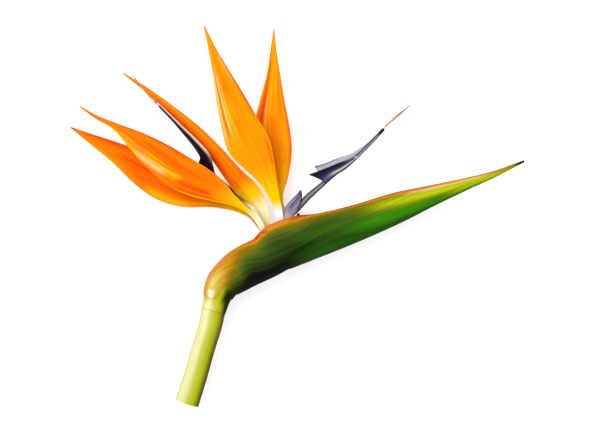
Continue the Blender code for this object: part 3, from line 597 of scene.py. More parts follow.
def sheet(along, across, surface):
    """Make a grid and move its points to surface(a, t), with a from 0 to 1 and t from -1 to 1."""
    bm = bmesh.new()
    bmesh.ops.create_grid(bm, x_segments=along, y_segments=across, size=1.0)
    flat = np.array([vert.co[:] for vert in bm.verts])
    a, t = 0.5 + 0.5 * flat[:, 0], flat[:, 1]
    for vert, point in zip(bm.verts, surface(a, t) * MM):
        vert.co = point
    return bm, a, t


def tube(rings, sides, surface):
    """Make a capped tube and move its points to surface(a, angle), with a from 0 to 1."""
    bm = bmesh.new()
    bmesh.ops.create_cone(bm, cap_ends=True, segments=sides, radius1=1.0, radius2=1.0, depth=2.0)
    runs = [edge for edge in bm.edges if abs(edge.verts[0].co.z - edge.verts[1].co.z) > 1.0]
    bmesh.ops.subdivide_edges(bm, edges=runs, cuts=rings - 1, use_grid_fill=True)
    flat = np.array([vert.co[:] for vert in bm.verts])
    a, angle = 0.5 + 0.5 * flat[:, 2], np.arctan2(flat[:, 1], flat[:, 0])
    for vert, point in zip(bm.verts, surface(a, angle) * MM):
        vert.co = point
    return bm, a, angle


def direction(track, spots, reach):
    """How a numbered curve's values change from a little before each spot to a little after."""
    ahead = read_curve(track, np.minimum(spots + reach, track[-1][0]))
    return ahead - read_curve(track, np.maximum(spots - reach, 0.0))


def sections(rows, spots):
    """Centres, sideways and upward directions and radii at spots of a middle line."""
    track = numbered(rows)
    values = read_curve(track, spots)
    forward = unit(direction(track, spots, 0.02)[:, :3])
    side = unit(np.cross((0.0, 0.0, 1.0), forward))
    return values[:, :3], side, np.cross(forward, side), values[:, 3]


def round_points(rows, spots, angle, wide=1.0, deep=1.0):
    """Points round a middle line, with the radius scaled in the table's plane and across it."""
    centre, side, lift, radius = sections(rows, spots)
    return (centre + side * (radius * wide * np.cos(angle))[:, None]
            + lift * (radius * deep * np.sin(angle))[:, None])


def to_table(plan, x, y, z):
    """Turn points laid out along +X by a plan's bearing in degrees and move them to its root."""
    turn, root = math.radians(plan["bearing"]), plan["root"]
    return np.stack((root[0] + x * math.cos(turn) - y * math.sin(turn),
                     root[1] + x * math.sin(turn) + y * math.cos(turn), root[2] + z), axis=1)


def add_piece(name, bm, node, materials, masks, grain):
    """Turn a bmesh into a piece that stands for a CAD node, with its masks as attributes."""
    mesh = bpy.data.meshes.new(name)
    bm.to_mesh(mesh)
    bm.free()
    mesh.shade_smooth()
    mesh.set_sharp_from_angle(angle=math.radians(SHARP_ANGLE))
    for channel, values in masks.items():
        layer = mesh.attributes.new(channel, "FLOAT", "POINT")
        layer.data.foreach_set("value", np.asarray(values, np.float32))
    layer = mesh.attributes.new("grain", "FLOAT_VECTOR", "POINT")
    layer.data.foreach_set("vector", np.asarray(grain, np.float32).ravel())
    for material in materials:
        mesh.materials.append(material)
    piece = bpy.data.objects.new(name, mesh)
    bpy.context.scene.collection.objects.link(piece)
    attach(piece, BODY)
    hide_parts(node)
    return piece


def add_wall(piece, thickness, inward=False, weights=None, lining=0):
    """Give a sheet its thickness, thinned by weights, with its inner side in the lining."""
    wall = piece.modifiers.new("wall", "SOLIDIFY")
    wall.thickness = thickness
    wall.offset = -1.0 if inward else 0.0
    wall.use_even_offset = False
    wall.material_offset = lining
    if weights is not None:
        group = piece.vertex_groups.new(name="thinning")
        for index, weight in enumerate(weights):
            group.add([index], float(weight), "REPLACE")
        wall.vertex_group = group.name
        wall.thickness_vertex_group = 0.0


def thin_edges(t, share):
    """Weights that thin a sheet by a share of its thickness towards its two edges."""
    return 1.0 - share * np.abs(t) ** 3


# ---- materials ----------------------------------------------------------------------------------
def add_node(tree, kind, inputs=None, **settings):
    """Add a node, set its settings, and set or link its inputs."""
    node = tree.nodes.new(kind)
    for key, value in settings.items():
        setattr(node, key, value)
    for key, value in (inputs or {}).items():
        if isinstance(value, bpy.types.NodeSocket):
            tree.links.new(value, node.inputs[key])
        else:
            node.inputs[key].default_value = value
    return node


def add_math(tree, operation, *values, clamp=False):
    """Add a Math node and give its result."""
    node = add_node(tree, "ShaderNodeMath", dict(enumerate(values)), operation=operation,
                    use_clamp=clamp)
    return node.outputs[0]


def add_mix(tree, factor, first, second, blend="MIX"):
    """Add a colour Mix node and give its result."""
    node = add_node(tree, "ShaderNodeMix", {0: factor, 6: first, 7: second}, data_type="RGBA",
                    blend_type=blend)
    return node.outputs[2]


def read_mask(tree, name):
    """Add an Attribute node and give the mask that it reads."""
    return add_node(tree, "ShaderNodeAttribute", attribute_name=name).outputs["Fac"]


def new_group(name, inputs, outputs):
    """Start a node group with float or vector inputs and float outputs."""
    group = bpy.data.node_groups.new(name, "ShaderNodeTree")
    for label, kind, default in inputs:
        socket = group.interface.new_socket(label, in_out="INPUT", socket_type=kind)
        if default is not None:
            socket.default_value = default
    for label in outputs:
        group.interface.new_socket(label, in_out="OUTPUT", socket_type="NodeSocketFloat")
    return group, group.nodes.new("NodeGroupInput"), group.nodes.new("NodeGroupOutput")


def veins_group():
    """Lengthwise veins: a soft mask of streaks, crisp thin lines and the height of fine ribs."""
    found = bpy.data.node_groups.get("lengthwise veins")
    if found:
        return found
    group, given, result = new_group(
        "lengthwise veins",
        (("Grain", "NodeSocketVector", None), ("Length", "NodeSocketFloat", 30.0),
         ("Spacing", "NodeSocketFloat", 0.8)),
        ("Streak", "Line", "Rib"))
    split = add_node(group, "ShaderNodeSeparateXYZ", {0: given.outputs["Grain"]})
    along = add_math(group, "DIVIDE", split.outputs[0], given.outputs["Length"])
    across = add_math(group, "DIVIDE", split.outputs[1], given.outputs["Spacing"])
    side = add_math(group, "DIVIDE", split.outputs[2], given.outputs["Spacing"])
    spot = add_node(group, "ShaderNodeCombineXYZ", {0: along, 1: across, 2: side}).outputs[0]
    broad = add_node(group, "ShaderNodeTexNoise",
                     {"Vector": spot, "Scale": 0.55, "Detail": 3.0, "Roughness": 0.6})
    fine = add_node(group, "ShaderNodeTexNoise",
                    {"Vector": spot, "Scale": 1.6, "Detail": 2.0, "Roughness": 0.5})
    streak = add_node(group, "ShaderNodeMapRange",
                      {"Value": broad.outputs["Fac"], "From Min": 0.32, "From Max": 0.68})
    rib = add_node(group, "ShaderNodeMapRange",
                   {"Value": fine.outputs["Fac"], "From Min": 0.35, "From Max": 0.65})
    lines = add_node(group, "ShaderNodeTexNoise",
                     {"Vector": spot, "Scale": 0.4, "Detail": 1.0, "Roughness": 0.5})
    off_line = add_math(group, "SUBTRACT", lines.outputs["Fac"], 0.5)
    off_line = add_math(group, "ABSOLUTE", off_line)
    line = add_node(group, "ShaderNodeMapRange", {"Value": off_line, "From Min": 0.0,
                                                  "From Max": 0.05, "To Min": 1.0, "To Max": 0.0})
    group.links.new(line.outputs[0], result.inputs["Line"])
    group.links.new(streak.outputs[0], result.inputs["Streak"])
    group.links.new(rib.outputs[0], result.inputs["Rib"])
    return group


def mottle_group():
    """Soft blotches of a given size in mm, the same on every side of a piece."""
    found = bpy.data.node_groups.get("soft mottle")
    if found:
        return found
    group, given, result = new_group("soft mottle", (("Size", "NodeSocketFloat", 8.0),),
                                     ("Blotch",))
    spot = add_node(group, "ShaderNodeTexCoord").outputs["Object"]
    scale = add_math(group, "DIVIDE", 1.0 / MM, given.outputs["Size"])
    noise = add_node(group, "ShaderNodeTexNoise", {"Vector": spot, "Scale": scale, "Detail": 3.0})
    blotch = add_node(group, "ShaderNodeMapRange",
                      {"Value": noise.outputs["Fac"], "From Min": 0.3, "From Max": 0.7})
    group.links.new(blotch.outputs[0], result.inputs["Blotch"])
    return group


def colour(key):
    """A colour of the flower with full opacity."""
    return (*getattr(bpy.context.scene.flower_colours, key), 1.0)


def add_layers(tree, shade, layers, uneven):
    """Lay tints over a colour by their masks, broken up by the veins unless a layer lies evenly."""
    for channel, key, evenly in layers:
        factor = read_mask(tree, channel)
        if not evenly:
            factor = add_math(tree, "MULTIPLY", factor, uneven, clamp=True)
        shade = add_mix(tree, factor, shade, colour(key))
    return shade


def add_ladder(tree, streak, channel, wander, steps):
    """A ramp of colours over a mask, whose borders wander along the veins' streaks."""
    nudge = add_math(tree, "MULTIPLY_ADD", streak, wander, -0.5 * wander)
    place = add_math(tree, "ADD", read_mask(tree, channel), nudge)
    ramp = add_node(tree, "ShaderNodeValToRGB", {"Fac": place})
    stops = ramp.color_ramp.elements
    for stop, (_, key) in zip(stops, (steps[0], steps[-1])):
        stop.color = colour(key)
    for spot, key in steps[1:-1]:
        stops.new(spot).color = colour(key)
    return ramp.outputs["Color"]


def skin(name, base, layers, clear=(), ladder=None, *, roughness, gloss, length, spacing,
         breakup=0.35, dark_veins=0.25, vein=(0.7, 0.6, 0.5), bump=0.25):
    """A skin: a base colour or a ladder, tints by mask, veins that break them up, and fine ribs.

    The veins darken the base and the layers, and leave the clear layers over them as they are.
    """
    found = bpy.data.materials.get(name)
    if found:
        return found
    material = bpy.data.materials.new(name)
    material.use_nodes = True
    tree = material.node_tree
    shader = tree.nodes["Principled BSDF"]
    grain = add_node(tree, "ShaderNodeAttribute", attribute_name="grain").outputs["Vector"]
    veins = add_node(tree, "ShaderNodeGroup", node_tree=veins_group())
    tree.links.new(grain, veins.inputs["Grain"])
    veins.inputs["Length"].default_value = length
    veins.inputs["Spacing"].default_value = spacing
    mottle = add_node(tree, "ShaderNodeGroup", node_tree=mottle_group())
    uneven = add_math(tree, "MULTIPLY_ADD", veins.outputs["Streak"], 2.0 * breakup, 1.0 - breakup)
    if ladder:
        shade = add_ladder(tree, veins.outputs["Streak"], *ladder)
    else:
        shade = add_mix(tree, 0.0, colour(base), colour(base))
    shade = add_layers(tree, shade, layers, uneven)
    for channel in ("Streak", "Line"):
        veil = add_math(tree, "MULTIPLY", veins.outputs[channel], dark_veins)
        shade = add_mix(tree, veil, shade, (*vein, 1.0), blend="MULTIPLY")
    shade = add_layers(tree, shade, clear, uneven)
    blotch = add_math(tree, "MULTIPLY", mottle.outputs["Blotch"], 0.5 * dark_veins)
    shade = add_mix(tree, blotch, shade, MOTTLE_TINT, blend="MULTIPLY")
    tree.links.new(shade, shader.inputs["Base Color"])
    dull = add_math(tree, "MULTIPLY_ADD", veins.outputs["Rib"], RIB_DULLING,
                    roughness - 0.5 * RIB_DULLING)
    tree.links.new(dull, shader.inputs["Roughness"])
    relief = add_node(tree, "ShaderNodeBump", {"Strength": bump, "Distance": RIB_HEIGHT * MM,
                                               "Height": veins.outputs["Rib"]})
    tree.links.new(relief.outputs["Normal"], shader.inputs["Normal"])
    shader.inputs["Specular IOR Level"].default_value = gloss
    return material


def sepal_skin(number):
    """Orange skin of a sepal, with the pale claw of its floret."""
    base, claw = (("sepal_orange", "claw_cream"), ("sepal_saffron", "claw_white"))[number - 1]
    return skin(f"sepal skin {number}", base,
                # The blush_and_shade tint lays red-orange edges and also painted shade in creases
                # and shadows.
                (("gold", "sepal_gold", False), ("blush_and_shade", "sepal_blush_and_shade", False),
                 # The pale tint lays painted highlights.
                 ("pale", "sepal_highlight", False), ("warmth", "sepal_lemon", True)),
                (("claw", claw, True), ("dusk", "sepal_dusk", False)),
                roughness=0.5, gloss=0.04, length=34.0, spacing=0.7, dark_veins=0.6,
                vein=(1.0, 0.62, 0.4), bump=0.3)


def arrow_skin():
    """Slate blue skin of the arrow petals and the nectar petals."""
    return skin("arrow skin", "arrow_slate",
                (("olive", "arrow_olive", False), ("gold", "arrow_gold", False),
                 ("lilac", "arrow_lilac", False), ("wine", "arrow_wine", True),
                 # The ink_and_shade tint lays the wings' near black, partly painted shade.
                 ("ink_and_shade", "arrow_black_and_shade", True), ("navy", "arrow_navy", False),
                 ("slate", "arrow_slate", False)),
                (("cream", "arrow_cream", True), ("rust", "arrow_rust", True)),
                roughness=0.5, gloss=0.06, length=20.0, spacing=0.35, dark_veins=0.5,
                vein=(0.5, 0.48, 0.6), bump=0.35)


# ---- pieces -------------------------------------------------------------------------------------
def require(frame_node):
    """Stop if the frame doesn't hold a node that a piece stands for."""
    if frame_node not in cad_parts:
        raise RuntimeError(f"the frame has no node called {frame_node}")


def make_stem():
    """The stem with its cut end, going on as the rachis inside the spathe."""
    require("stem")
    rings, sides = STEM_MESH
    last = 2 * rings + 1

    def surface(a, angle):
        points = np.zeros((len(a), 3))
        ring = np.round(a * last).astype(int)
        for rows, first, chosen in ((STEM, 0, ring <= rings), (RACHIS, rings + 1, ring > rings)):
            spots = (len(rows) - 1) * (ring[chosen] - first) / rings
            points[chosen] = round_points(rows, spots, angle[chosen])
        return points

    bm, a, angle = tube(last, sides, surface)
    a = a * last / rings
    masks = paint_strokes(a, np.cos(angle), STEM_STROKES, STEM_TINTS)
    grain = lay_grain(a * 60.0, 7.0 * np.cos(angle), 7.0 * np.sin(angle))
    green = skin("stem skin", "stem_lime",
                 # Pale lays the painted highlight on the stem's lit side.
                 (("gold", "spathe_amber", False), ("pale", "stem_highlight", False),
                  # Brown is the stem's own flush with painted shade; shade is painted shade in the
                  # crook.
                  ("brown", "stem_flush_and_shade", True), ("shade", "stem_shade", True)),
                 roughness=0.42, gloss=0.1, length=45.0, spacing=0.9, bump=0.15)
    piece = add_piece("flower_stem", bm, "stem", (green, cut_face()), masks, grain)
    for face in piece.data.polygons:
        if len(face.vertices) > 4 and face.center.y < CUT_END_Y * MM:
            face.material_index = 1


def cut_face():
    """Pale wet cut through the stem, dotted with the ends of its fibres."""
    material = bpy.data.materials.new("cut face")
    material.use_nodes = True
    tree = material.node_tree
    shader = tree.nodes["Principled BSDF"]
    spot = add_node(tree, "ShaderNodeTexCoord").outputs["Object"]
    dots = add_node(tree, "ShaderNodeTexVoronoi", {"Vector": spot, "Scale": 900.0})
    ring = add_node(tree, "ShaderNodeMapRange",
                    {"Value": dots.outputs["Distance"], "From Min": 0.18, "From Max": 0.34})
    shade = add_mix(tree, ring.outputs[0], colour("spathe_amber"), colour("stem_core"))
    tree.links.new(shade, shader.inputs["Base Color"])
    relief = add_node(tree, "ShaderNodeBump", {"Strength": 0.5, "Distance": 0.2 * MM,
                                               "Height": ring.outputs[0]})
    tree.links.new(relief.outputs["Normal"], shader.inputs["Normal"])
    shader.inputs["Roughness"].default_value = 0.3
    return material


def make_spathe():
    """The boat-shaped bract: one wall folded round the keel, with its margins along the top."""
    require("spathe")
    track, last = numbered((FOOT, *SPATHE)), len(SPATHE)

    def surface(a, t):
        spot = a * last
        x, y, half_height, half_thick, opening = read_curve(track, spot).T
        opening = np.clip(opening, SLIT_HALF, 0.9 * half_thick)
        forward = unit(direction(track, spot, 0.05)[:, :2])
        margin = math.pi - np.arcsin(opening / half_thick)
        angle = t * margin
        height = half_height * (2.0 * (1.0 - np.cos(angle)) / (1.0 - np.cos(margin)) - 1.0)
        z = np.maximum(MID_Z + half_thick * np.sin(angle), 0.0)
        return np.stack((x - forward[:, 1] * height, y + forward[:, 0] * height, z), axis=1)

    bm, a, t = sheet(*SPATHE_MESH, surface)
    row, part = a * last - 1.0, np.abs(t)
    half_height, half_thick = read_curve(track, a * last)[:, 2:4].T
    round_keel = np.cos(math.pi * part)
    masks = paint_strokes(row, part, SPATHE_STROKES, SPATHE_TINTS)
    # Over its foot the spathe takes on the stem's own paint, with its painted highlight and shade.
    masks["collar"] = 1.0 - ease((row + 0.7) / 1.1)
    stem_a = COLLAR_PLACE + ROW_PITCH * row
    for tint, mask in paint_strokes(stem_a, -round_keel, STEM_STROKES, STEM_TINTS).items():
        masks[f"collar_{tint}"] = mask if tint == "shade" else mask * masks["collar"]
    tone_and_shade = read_curve(numbered(SKIN_TONE_AND_SHADE), row)
    masks["tone_and_shade"] = [np.interp(*pair) for pair in zip(part, repeat(SKIN_STOPS), tone_and_shade)]
    grain = lay_grain(row * 12.0, (1.0 - round_keel) * half_height, 6.0 * np.sign(t))
    # The ladder's near black keel end is painted shade on the underside.
    ladder = ("tone_and_shade", 0.14,
              ((0.0, "spathe_black_and_shade"), (0.2, "spathe_deep"), (0.35, "spathe_moss"),
               (0.5, "spathe_olive"), (0.62, "spathe_mustard"), (0.74, "spathe_amber"),
               (0.86, "spathe_flame"), (1.0, "spathe_rim")))
    outside = skin("spathe skin", None,
                   (("leaf", "spathe_leaf", False), ("lime", "spathe_lime", False),
                    ("amber", "spathe_amber", False), ("butter", "spathe_butter", False),
                    ("peach", "spathe_peach", False)),
                   (("collar", "stem_lime", True), ("collar_gold", "spathe_amber", False),
                    # The stem's painted highlight and painted shade carry on over the foot.
                    ("collar_pale", "stem_highlight", False), ("collar_brown", "stem_flush_and_shade", True),
                    # Shine is a painted highlight and gleam a painted reflection in the arrows'
                    # slate.
                    ("collar_shade", "stem_shade", True), ("shine", "spathe_shine", True),
                    ("night", "spathe_black_and_shade", True), ("gleam", "arrow_slate", False)),
                   ladder, roughness=0.42, gloss=0.04, length=45.0, spacing=0.9, breakup=0.4,
                   dark_veins=0.6, vein=(0.62, 0.62, 0.55), bump=0.35)
    lining = skin("spathe lining", "spathe_lining", (("lime", "spathe_lime", False),),
                  roughness=0.5, gloss=0.2, length=45.0, spacing=0.9)
    piece = add_piece("flower_spathe", bm, "spathe", (outside, lining), masks, grain)
    # The wall thins towards the narrow tip, and to a papery edge at the foot.
    wall = bpy.context.scene.flower_sizes.spathe_wall
    weights = np.minimum(1.0, 0.55 * half_thick * MM / wall) * (0.02 + 0.98 * ease(row + 1.0))
    add_wall(piece, wall, inward=True, weights=weights, lining=1)


def make_ovaries():
    """The fleshy ovaries that join the florets to the rachis."""
    flesh = skin("ovary flesh", "ovary_cream", (("gold", "sepal_gold", False),),
                 roughness=0.45, gloss=0.3, length=6.0, spacing=1.2)
    for name, rows in OVARIES.items():
        require(name)
        line = [(x, y, MID_Z + 0.6, radius) for x, y, radius, _ in rows]
        across = numbered([(row[3] / row[2],) for row in rows])

        def surface(a, angle):
            spots = a * (len(rows) - 1)
            groove = 1.0 - 0.05 * np.cos(3.0 * angle) ** 2 * np.sin(math.pi * a)
            deep = groove * read_curve(across, spots)[:, 0]
            return round_points(line, spots, angle, groove, deep)

        bm, a, angle = tube(*OVARY_MESH, surface)
        masks = {"gold": 0.5 * (1.0 - a)}
        grain = lay_grain(a * 12.0, 3.0 * np.cos(angle), 3.0 * np.sin(angle))
        add_piece(f"flower_{name}", bm, name, (flesh,), masks, grain)


def make_sepals():
    """The six orange sepals, three on each floret."""
    for name, plan in SEPALS.items():
        require(name)
        fold_left, fold_right = plan["fold"]

        def surface(a, t):
            right, left = read_curve(plan["edges"], a).T
            half = 0.5 * (left - right)
            height = read_curve(plan["arch"], a)[:, 0]
            steep = np.where(t > 0.0, fold_left, fold_right)
            soft = np.sqrt(t * t + MIDRIB_ROUND) - math.sqrt(MIDRIB_ROUND)
            z = height - steep * half * soft * ease(a / 0.3)
            for fold in SEPAL_FOLDS[name]:
                z = z + stroke(a, t, *fold)
            wave = np.sin(WAVE_PACE * a + 5.0 * np.sign(t)) * np.abs(t) ** 3
            z = z + WAVE_HEIGHT * wave * ease((a - 0.2) / 0.3) * ease((1.0 - a) / 0.2)
            z = np.maximum(z, TABLE_CLEARANCE - plan["root"][2])
            return to_table(plan, a * plan["length"], 0.5 * (left + right) + t * half, z)

        bm, a, t = sheet(*SEPAL_MESH, surface)
        masks = paint_strokes(a, t, SEPAL_STROKES[name], SEPAL_TINTS)
        claw_start, claw_end, gold_end = CLAW_REACH[name]
        masks["claw"] = 1.0 - ease((a - claw_start) / (claw_end - claw_start))
        masks["warmth"] = 1.0 - ease((a - claw_end) / (gold_end - claw_end))
        grain = lay_grain(a * plan["length"], 10.0 * t, 5.0 * len(name))
        orange = sepal_skin(int(name[-1]))
        piece = add_piece(f"flower_{name}", bm, name, (orange,), masks, grain)
        add_wall(piece, bpy.context.scene.flower_sizes.sepal_wall, weights=thin_edges(t, 0.55))


def arrow_height(plan, x):
    """The height of an arrow's middle over its root at distances x along its line."""
    return plan["rise"] * (np.maximum(x, 0.0) / plan["rows"][-1][0]) ** ARROW_RISE_POWER


def make_arrow_petals():
    """The two arrows: a folded gutter with a near wing and a far wing, each with a barb."""
    for name, plan in ARROWS.items():
        require(name)
        track, last = numbered(plan["rows"]), len(plan["rows"]) - 1

        def surface(a, t):
            keel_x, keel_y, near_x, near_y, far_x, far_y, half_gap = read_curve(
                track, a * last, eased=True).T
            near, part = t > 0.0, np.abs(t)
            edge_x, edge_y = np.where(near, near_x, far_x), np.where(near, near_y, far_y)
            x = keel_x + (edge_x - keel_x) * part**2
            y = keel_y + (edge_y - keel_y) * part**2
            side = half_gap * np.sin(0.5 * math.pi * np.minimum(1.0, 1.6 * part))
            return to_table(plan, x, y, arrow_height(plan, x) + np.where(near, side, -side))

        parts, across = ARROW_MESH
        bm, a, t = sheet(parts * last, across, surface)
        masks = paint_strokes(a * last, np.sign(t) * t * t, ARROW_STROKES[name], ARROW_TINTS)
        grain = lay_grain(a * 90.0, 5.0 * t, 3.0)
        piece = add_piece(f"flower_{name}", bm, name, (arrow_skin(),), masks, grain)
        add_wall(piece, bpy.context.scene.flower_sizes.arrow_wall, weights=thin_edges(t, 0.4))


def make_blade(name, material):
    """A short blade with a pointed tip that stands up from its root."""
    require(name)
    plan = BLADES[name]

    def surface(a, t):
        right, left = read_curve(plan["edges"], a).T
        half = 0.5 * (left - right)
        z = plan["rise"] * a * a - 0.12 * half * t * t * ease(a / 0.3)
        return to_table(plan, a * plan["length"], 0.5 * (left + right) + t * half, z)

    bm, a, t = sheet(*BLADE_MESH, surface)
    masks = paint_strokes(a, t, BLADE_STROKES[name], ARROW_TINTS)
    grain = lay_grain(a * plan["length"], 2.5 * t, 9.0)
    piece = add_piece(f"flower_{name}", bm, name, (material,), masks, grain)
    add_wall(piece, bpy.context.scene.flower_sizes.blade_wall, weights=thin_edges(t, 0.4))


def make_rod(name, rows, mesh, length, radius, material, paint):
    """A thin round piece along a middle line; paint(a, angle) gives its masks."""
    require(name)
    bm, a, angle = tube(*mesh, lambda a, angle: round_points(rows, a * (len(rows) - 1), angle))
    grain = lay_grain(a * length, radius * np.cos(angle), radius * np.sin(angle))
    add_piece(f"flower_{name}", bm, name, (material,), paint(a, angle), grain)


def make_styles():
    """The styles in their arrows' gutters and the sticky stigmas beyond them."""
    tan = skin("stigma skin", "stigma_tan", (("pollen", "stigma_pale", False),),
               roughness=0.6, gloss=0.2, length=2.0, spacing=0.3, bump=0.5, breakup=0.5)

    def paint(a, angle):
        return {"pollen": stroke(a, np.cos(angle), 0.35, 0.4, 0.85, 0.4, 0.7)}

    for name, rows in STYLES.items():
        plan = ARROWS[f"arrow_petals_{name[-1]}"]
        x, y, radius = np.array(rows).T
        line = np.column_stack((to_table(plan, x, y, arrow_height(plan, x)), radius))
        make_rod(name, line, STYLE_MESH, 60.0, 1.0, tan, paint)


def make_buds():
    """The unopened florets folded away inside the spathe."""
    cream = skin("bud skin", "bud_cream", (("gold", "sepal_orange", False),), roughness=0.5,
                 gloss=0.25, length=20.0, spacing=0.6)
    for name, rows in BUDS.items():
        make_rod(name, rows, BUD_MESH, 60.0, 2.0, cream,
                 lambda a, angle: {"gold": ease((a - 0.35) / 0.4)})


# ---- stage --------------------------------------------------------------------------------------
def make_table(settings):
    """The pale table. Its glow is seen by the camera only and doesn't light the flower."""
    bm = bmesh.new()
    bmesh.ops.create_grid(bm, x_segments=1, y_segments=1, size=0.5 * settings.table_side)
    mesh = bpy.data.meshes.new("table")
    bm.to_mesh(mesh)
    bm.free()
    table = bpy.data.objects.new("table", mesh)
    bpy.context.scene.collection.objects.link(table)
    material = bpy.data.materials.new("white table")
    material.use_nodes = True
    tree = material.node_tree
    shader = tree.nodes["Principled BSDF"]
    mottle = add_node(tree, "ShaderNodeGroup", node_tree=mottle_group())
    mottle.inputs["Size"].default_value = TABLE_BLOTCH
    white = colour("table_white")
    dull = tuple(TABLE_DULLING * part for part in white)
    shade = add_mix(tree, mottle.outputs["Blotch"], white, dull)
    tree.links.new(shade, shader.inputs["Base Color"])
    shader.inputs["Roughness"].default_value = 0.8
    shader.inputs["Specular IOR Level"].default_value = 0.0
    sight = add_node(tree, "ShaderNodeLightPath").outputs["Is Camera Ray"]
    glow = add_node(tree, "ShaderNodeEmission",
                    {"Color": shade, "Strength": add_math(tree, "MULTIPLY", sight, settings.glow)})
    both = add_node(tree, "ShaderNodeAddShader",
                    {0: shader.outputs["BSDF"], 1: glow.outputs["Emission"]})
    output = next(node for node in tree.nodes if node.bl_idname == "ShaderNodeOutputMaterial")
    tree.links.new(both.outputs["Shader"], output.inputs["Surface"])
    mesh.materials.append(material)


def make_lights(settings):
    """A white room and one large soft light at the upper left."""
    world = bpy.data.worlds.new("white room")
    bpy.context.scene.world = world
    world.use_nodes = True
    room = world.node_tree.nodes["Background"]
    room.inputs["Color"].default_value = (1.0, 1.0, 1.0, 1.0)
    room.inputs["Strength"].default_value = settings.sky
    lamp = bpy.data.lights.new("key light", "AREA")
    lamp.shape = "DISK"
    lamp.size = LAMP_WIDTH
    lamp.energy = settings.key
    light = bpy.data.objects.new("key light", lamp)
    bpy.context.scene.collection.objects.link(light)
    light.location = LAMP_PLACE
    light.rotation_euler = (-light.location).to_track_quat("-Z", "Y").to_euler()


def make_camera(settings):
    """A long lens straight over the flower."""
    lens = bpy.data.cameras.new("camera")
    lens.lens = settings.lens
    lens.sensor_width = 36.0
    lens.clip_end = 20.0
    camera = bpy.data.objects.new("camera", lens)
    bpy.context.scene.collection.objects.link(camera)
    camera.location = (CAMERA_SPOT[0] * MM, CAMERA_SPOT[1] * MM, settings.camera_height)
    bpy.context.scene.camera = camera


# ---- operators and panel ------------------------------------------------------------------------
class FLOWER_OT_stem(bpy.types.Operator):
    """Make the stem and the rachis"""
    bl_idname = "flower.make_stem"
    bl_label = "Make Stem"

    def execute(self, context):
        make_stem()
        return {"FINISHED"}


class FLOWER_OT_spathe(bpy.types.Operator):
    """Make the boat-shaped spathe"""
    bl_idname = "flower.make_spathe"
    bl_label = "Make Spathe"

    def execute(self, context):
        make_spathe()
        return {"FINISHED"}


class FLOWER_OT_ovaries(bpy.types.Operator):
    """Make the ovaries"""
    bl_idname = "flower.make_ovaries"
    bl_label = "Make Ovaries"

    def execute(self, context):
        make_ovaries()
        return {"FINISHED"}


class FLOWER_OT_sepals(bpy.types.Operator):
    """Make the six orange sepals"""
    bl_idname = "flower.make_sepals"
    bl_label = "Make Sepals"

    def execute(self, context):
        make_sepals()
        return {"FINISHED"}


class FLOWER_OT_arrow_petals(bpy.types.Operator):
    """Make the blue arrow petals"""
    bl_idname = "flower.make_arrow_petals"
    bl_label = "Make Arrow Petals"

    def execute(self, context):
        make_arrow_petals()
        return {"FINISHED"}


class FLOWER_OT_nectar_petals(bpy.types.Operator):
    """Make the short petals over the nectaries"""
    bl_idname = "flower.make_nectar_petals"
    bl_label = "Make Nectar Petals"

    def execute(self, context):
        for name in ("nectar_petal_1", "nectar_petal_2"):
            make_blade(name, arrow_skin())
        return {"FINISHED"}


class FLOWER_OT_styles(bpy.types.Operator):
    """Make the styles and stigmas"""
    bl_idname = "flower.make_styles"
    bl_label = "Make Styles"

    def execute(self, context):
        make_styles()
        return {"FINISHED"}


class FLOWER_OT_buds(bpy.types.Operator):
    """Make the unopened florets inside the spathe"""
    bl_idname = "flower.make_buds"
    bl_label = "Make Buds"

    def execute(self, context):
        make_buds()
        return {"FINISHED"}


class FLOWER_OT_bracteole(bpy.types.Operator):
    """Make the papery bract behind the second floret"""
    bl_idname = "flower.make_bracteole"
    bl_label = "Make Bracteole"

    def execute(self, context):
        paper = skin("bract skin", "bract_red", (("ink_and_shade", "arrow_black_and_shade", False),), roughness=0.6,
                     gloss=0.2, length=12.0, spacing=0.4)
        make_blade("bracteole_2", paper)
        return {"FINISHED"}


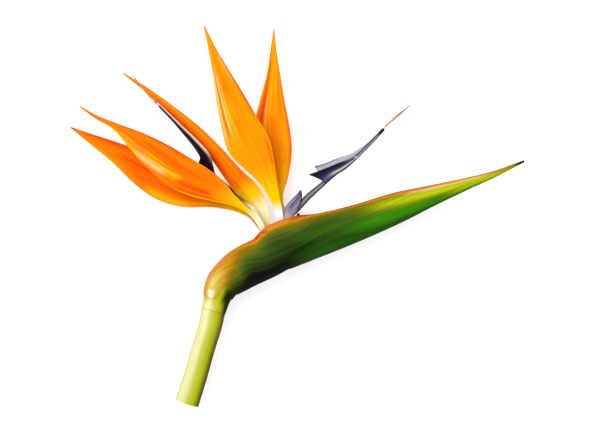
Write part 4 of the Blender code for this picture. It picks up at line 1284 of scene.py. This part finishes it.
class FLOWER_OT_stage(bpy.types.Operator):
    """Make the table, the lights and the camera"""
    bl_idname = "flower.make_stage"
    bl_label = "Make Stage"

    def execute(self, context):
        settings = context.scene.flower_stage
        make_table(settings)
        make_lights(settings)
        make_camera(settings)
        context.scene.view_settings.view_transform = "Standard"
        return {"FINISHED"}


OPERATORS = (
    FLOWER_OT_stem, FLOWER_OT_spathe, FLOWER_OT_ovaries, FLOWER_OT_sepals, FLOWER_OT_arrow_petals,
    FLOWER_OT_nectar_petals, FLOWER_OT_styles, FLOWER_OT_buds, FLOWER_OT_bracteole, FLOWER_OT_stage,
)


class FLOWER_PT_panel(bpy.types.Panel):
    """Lists the flower's steps and settings"""
    bl_idname = "FLOWER_PT_panel"
    bl_label = "Bird of Paradise Flower"
    bl_space_type = "VIEW_3D"
    bl_region_type = "UI"
    bl_category = "Flower"

    def draw(self, context):
        layout = self.layout
        for operator in OPERATORS:
            layout.operator(operator.bl_idname)
        scene = context.scene
        for settings, rows in ((scene.flower_sizes, SIZES), (scene.flower_stage, STAGE),
                               (scene.flower_colours, COLOURS)):
            box = layout.box()
            for row in rows:
                box.prop(settings, row[0])


SETTINGS = (("flower_colours", FLOWER_PG_colours), ("flower_sizes", FLOWER_PG_sizes),
            ("flower_stage", FLOWER_PG_stage))


def register():
    """Register the settings, the operators and the panel."""
    for key, group in SETTINGS:
        bpy.utils.register_class(group)
        setattr(bpy.types.Scene, key, bpy.props.PointerProperty(type=group))
    for operator in OPERATORS:
        bpy.utils.register_class(operator)
    bpy.utils.register_class(FLOWER_PT_panel)


def unregister():
    """Take everything back that register added."""
    bpy.utils.unregister_class(FLOWER_PT_panel)
    for operator in reversed(OPERATORS):
        bpy.utils.unregister_class(operator)
    for key, group in reversed(SETTINGS):
        delattr(bpy.types.Scene, key)
        bpy.utils.unregister_class(group)


def main():
    """Build every piece and the stage."""
    register()
    bpy.ops.flower.make_stem()
    bpy.ops.flower.make_spathe()
    bpy.ops.flower.make_ovaries()
    bpy.ops.flower.make_sepals()
    bpy.ops.flower.make_arrow_petals()
    bpy.ops.flower.make_nectar_petals()
    bpy.ops.flower.make_styles()
    bpy.ops.flower.make_buds()
    bpy.ops.flower.make_bracteole()
    bpy.ops.flower.make_stage()


if __name__ == "__main__":
    main()
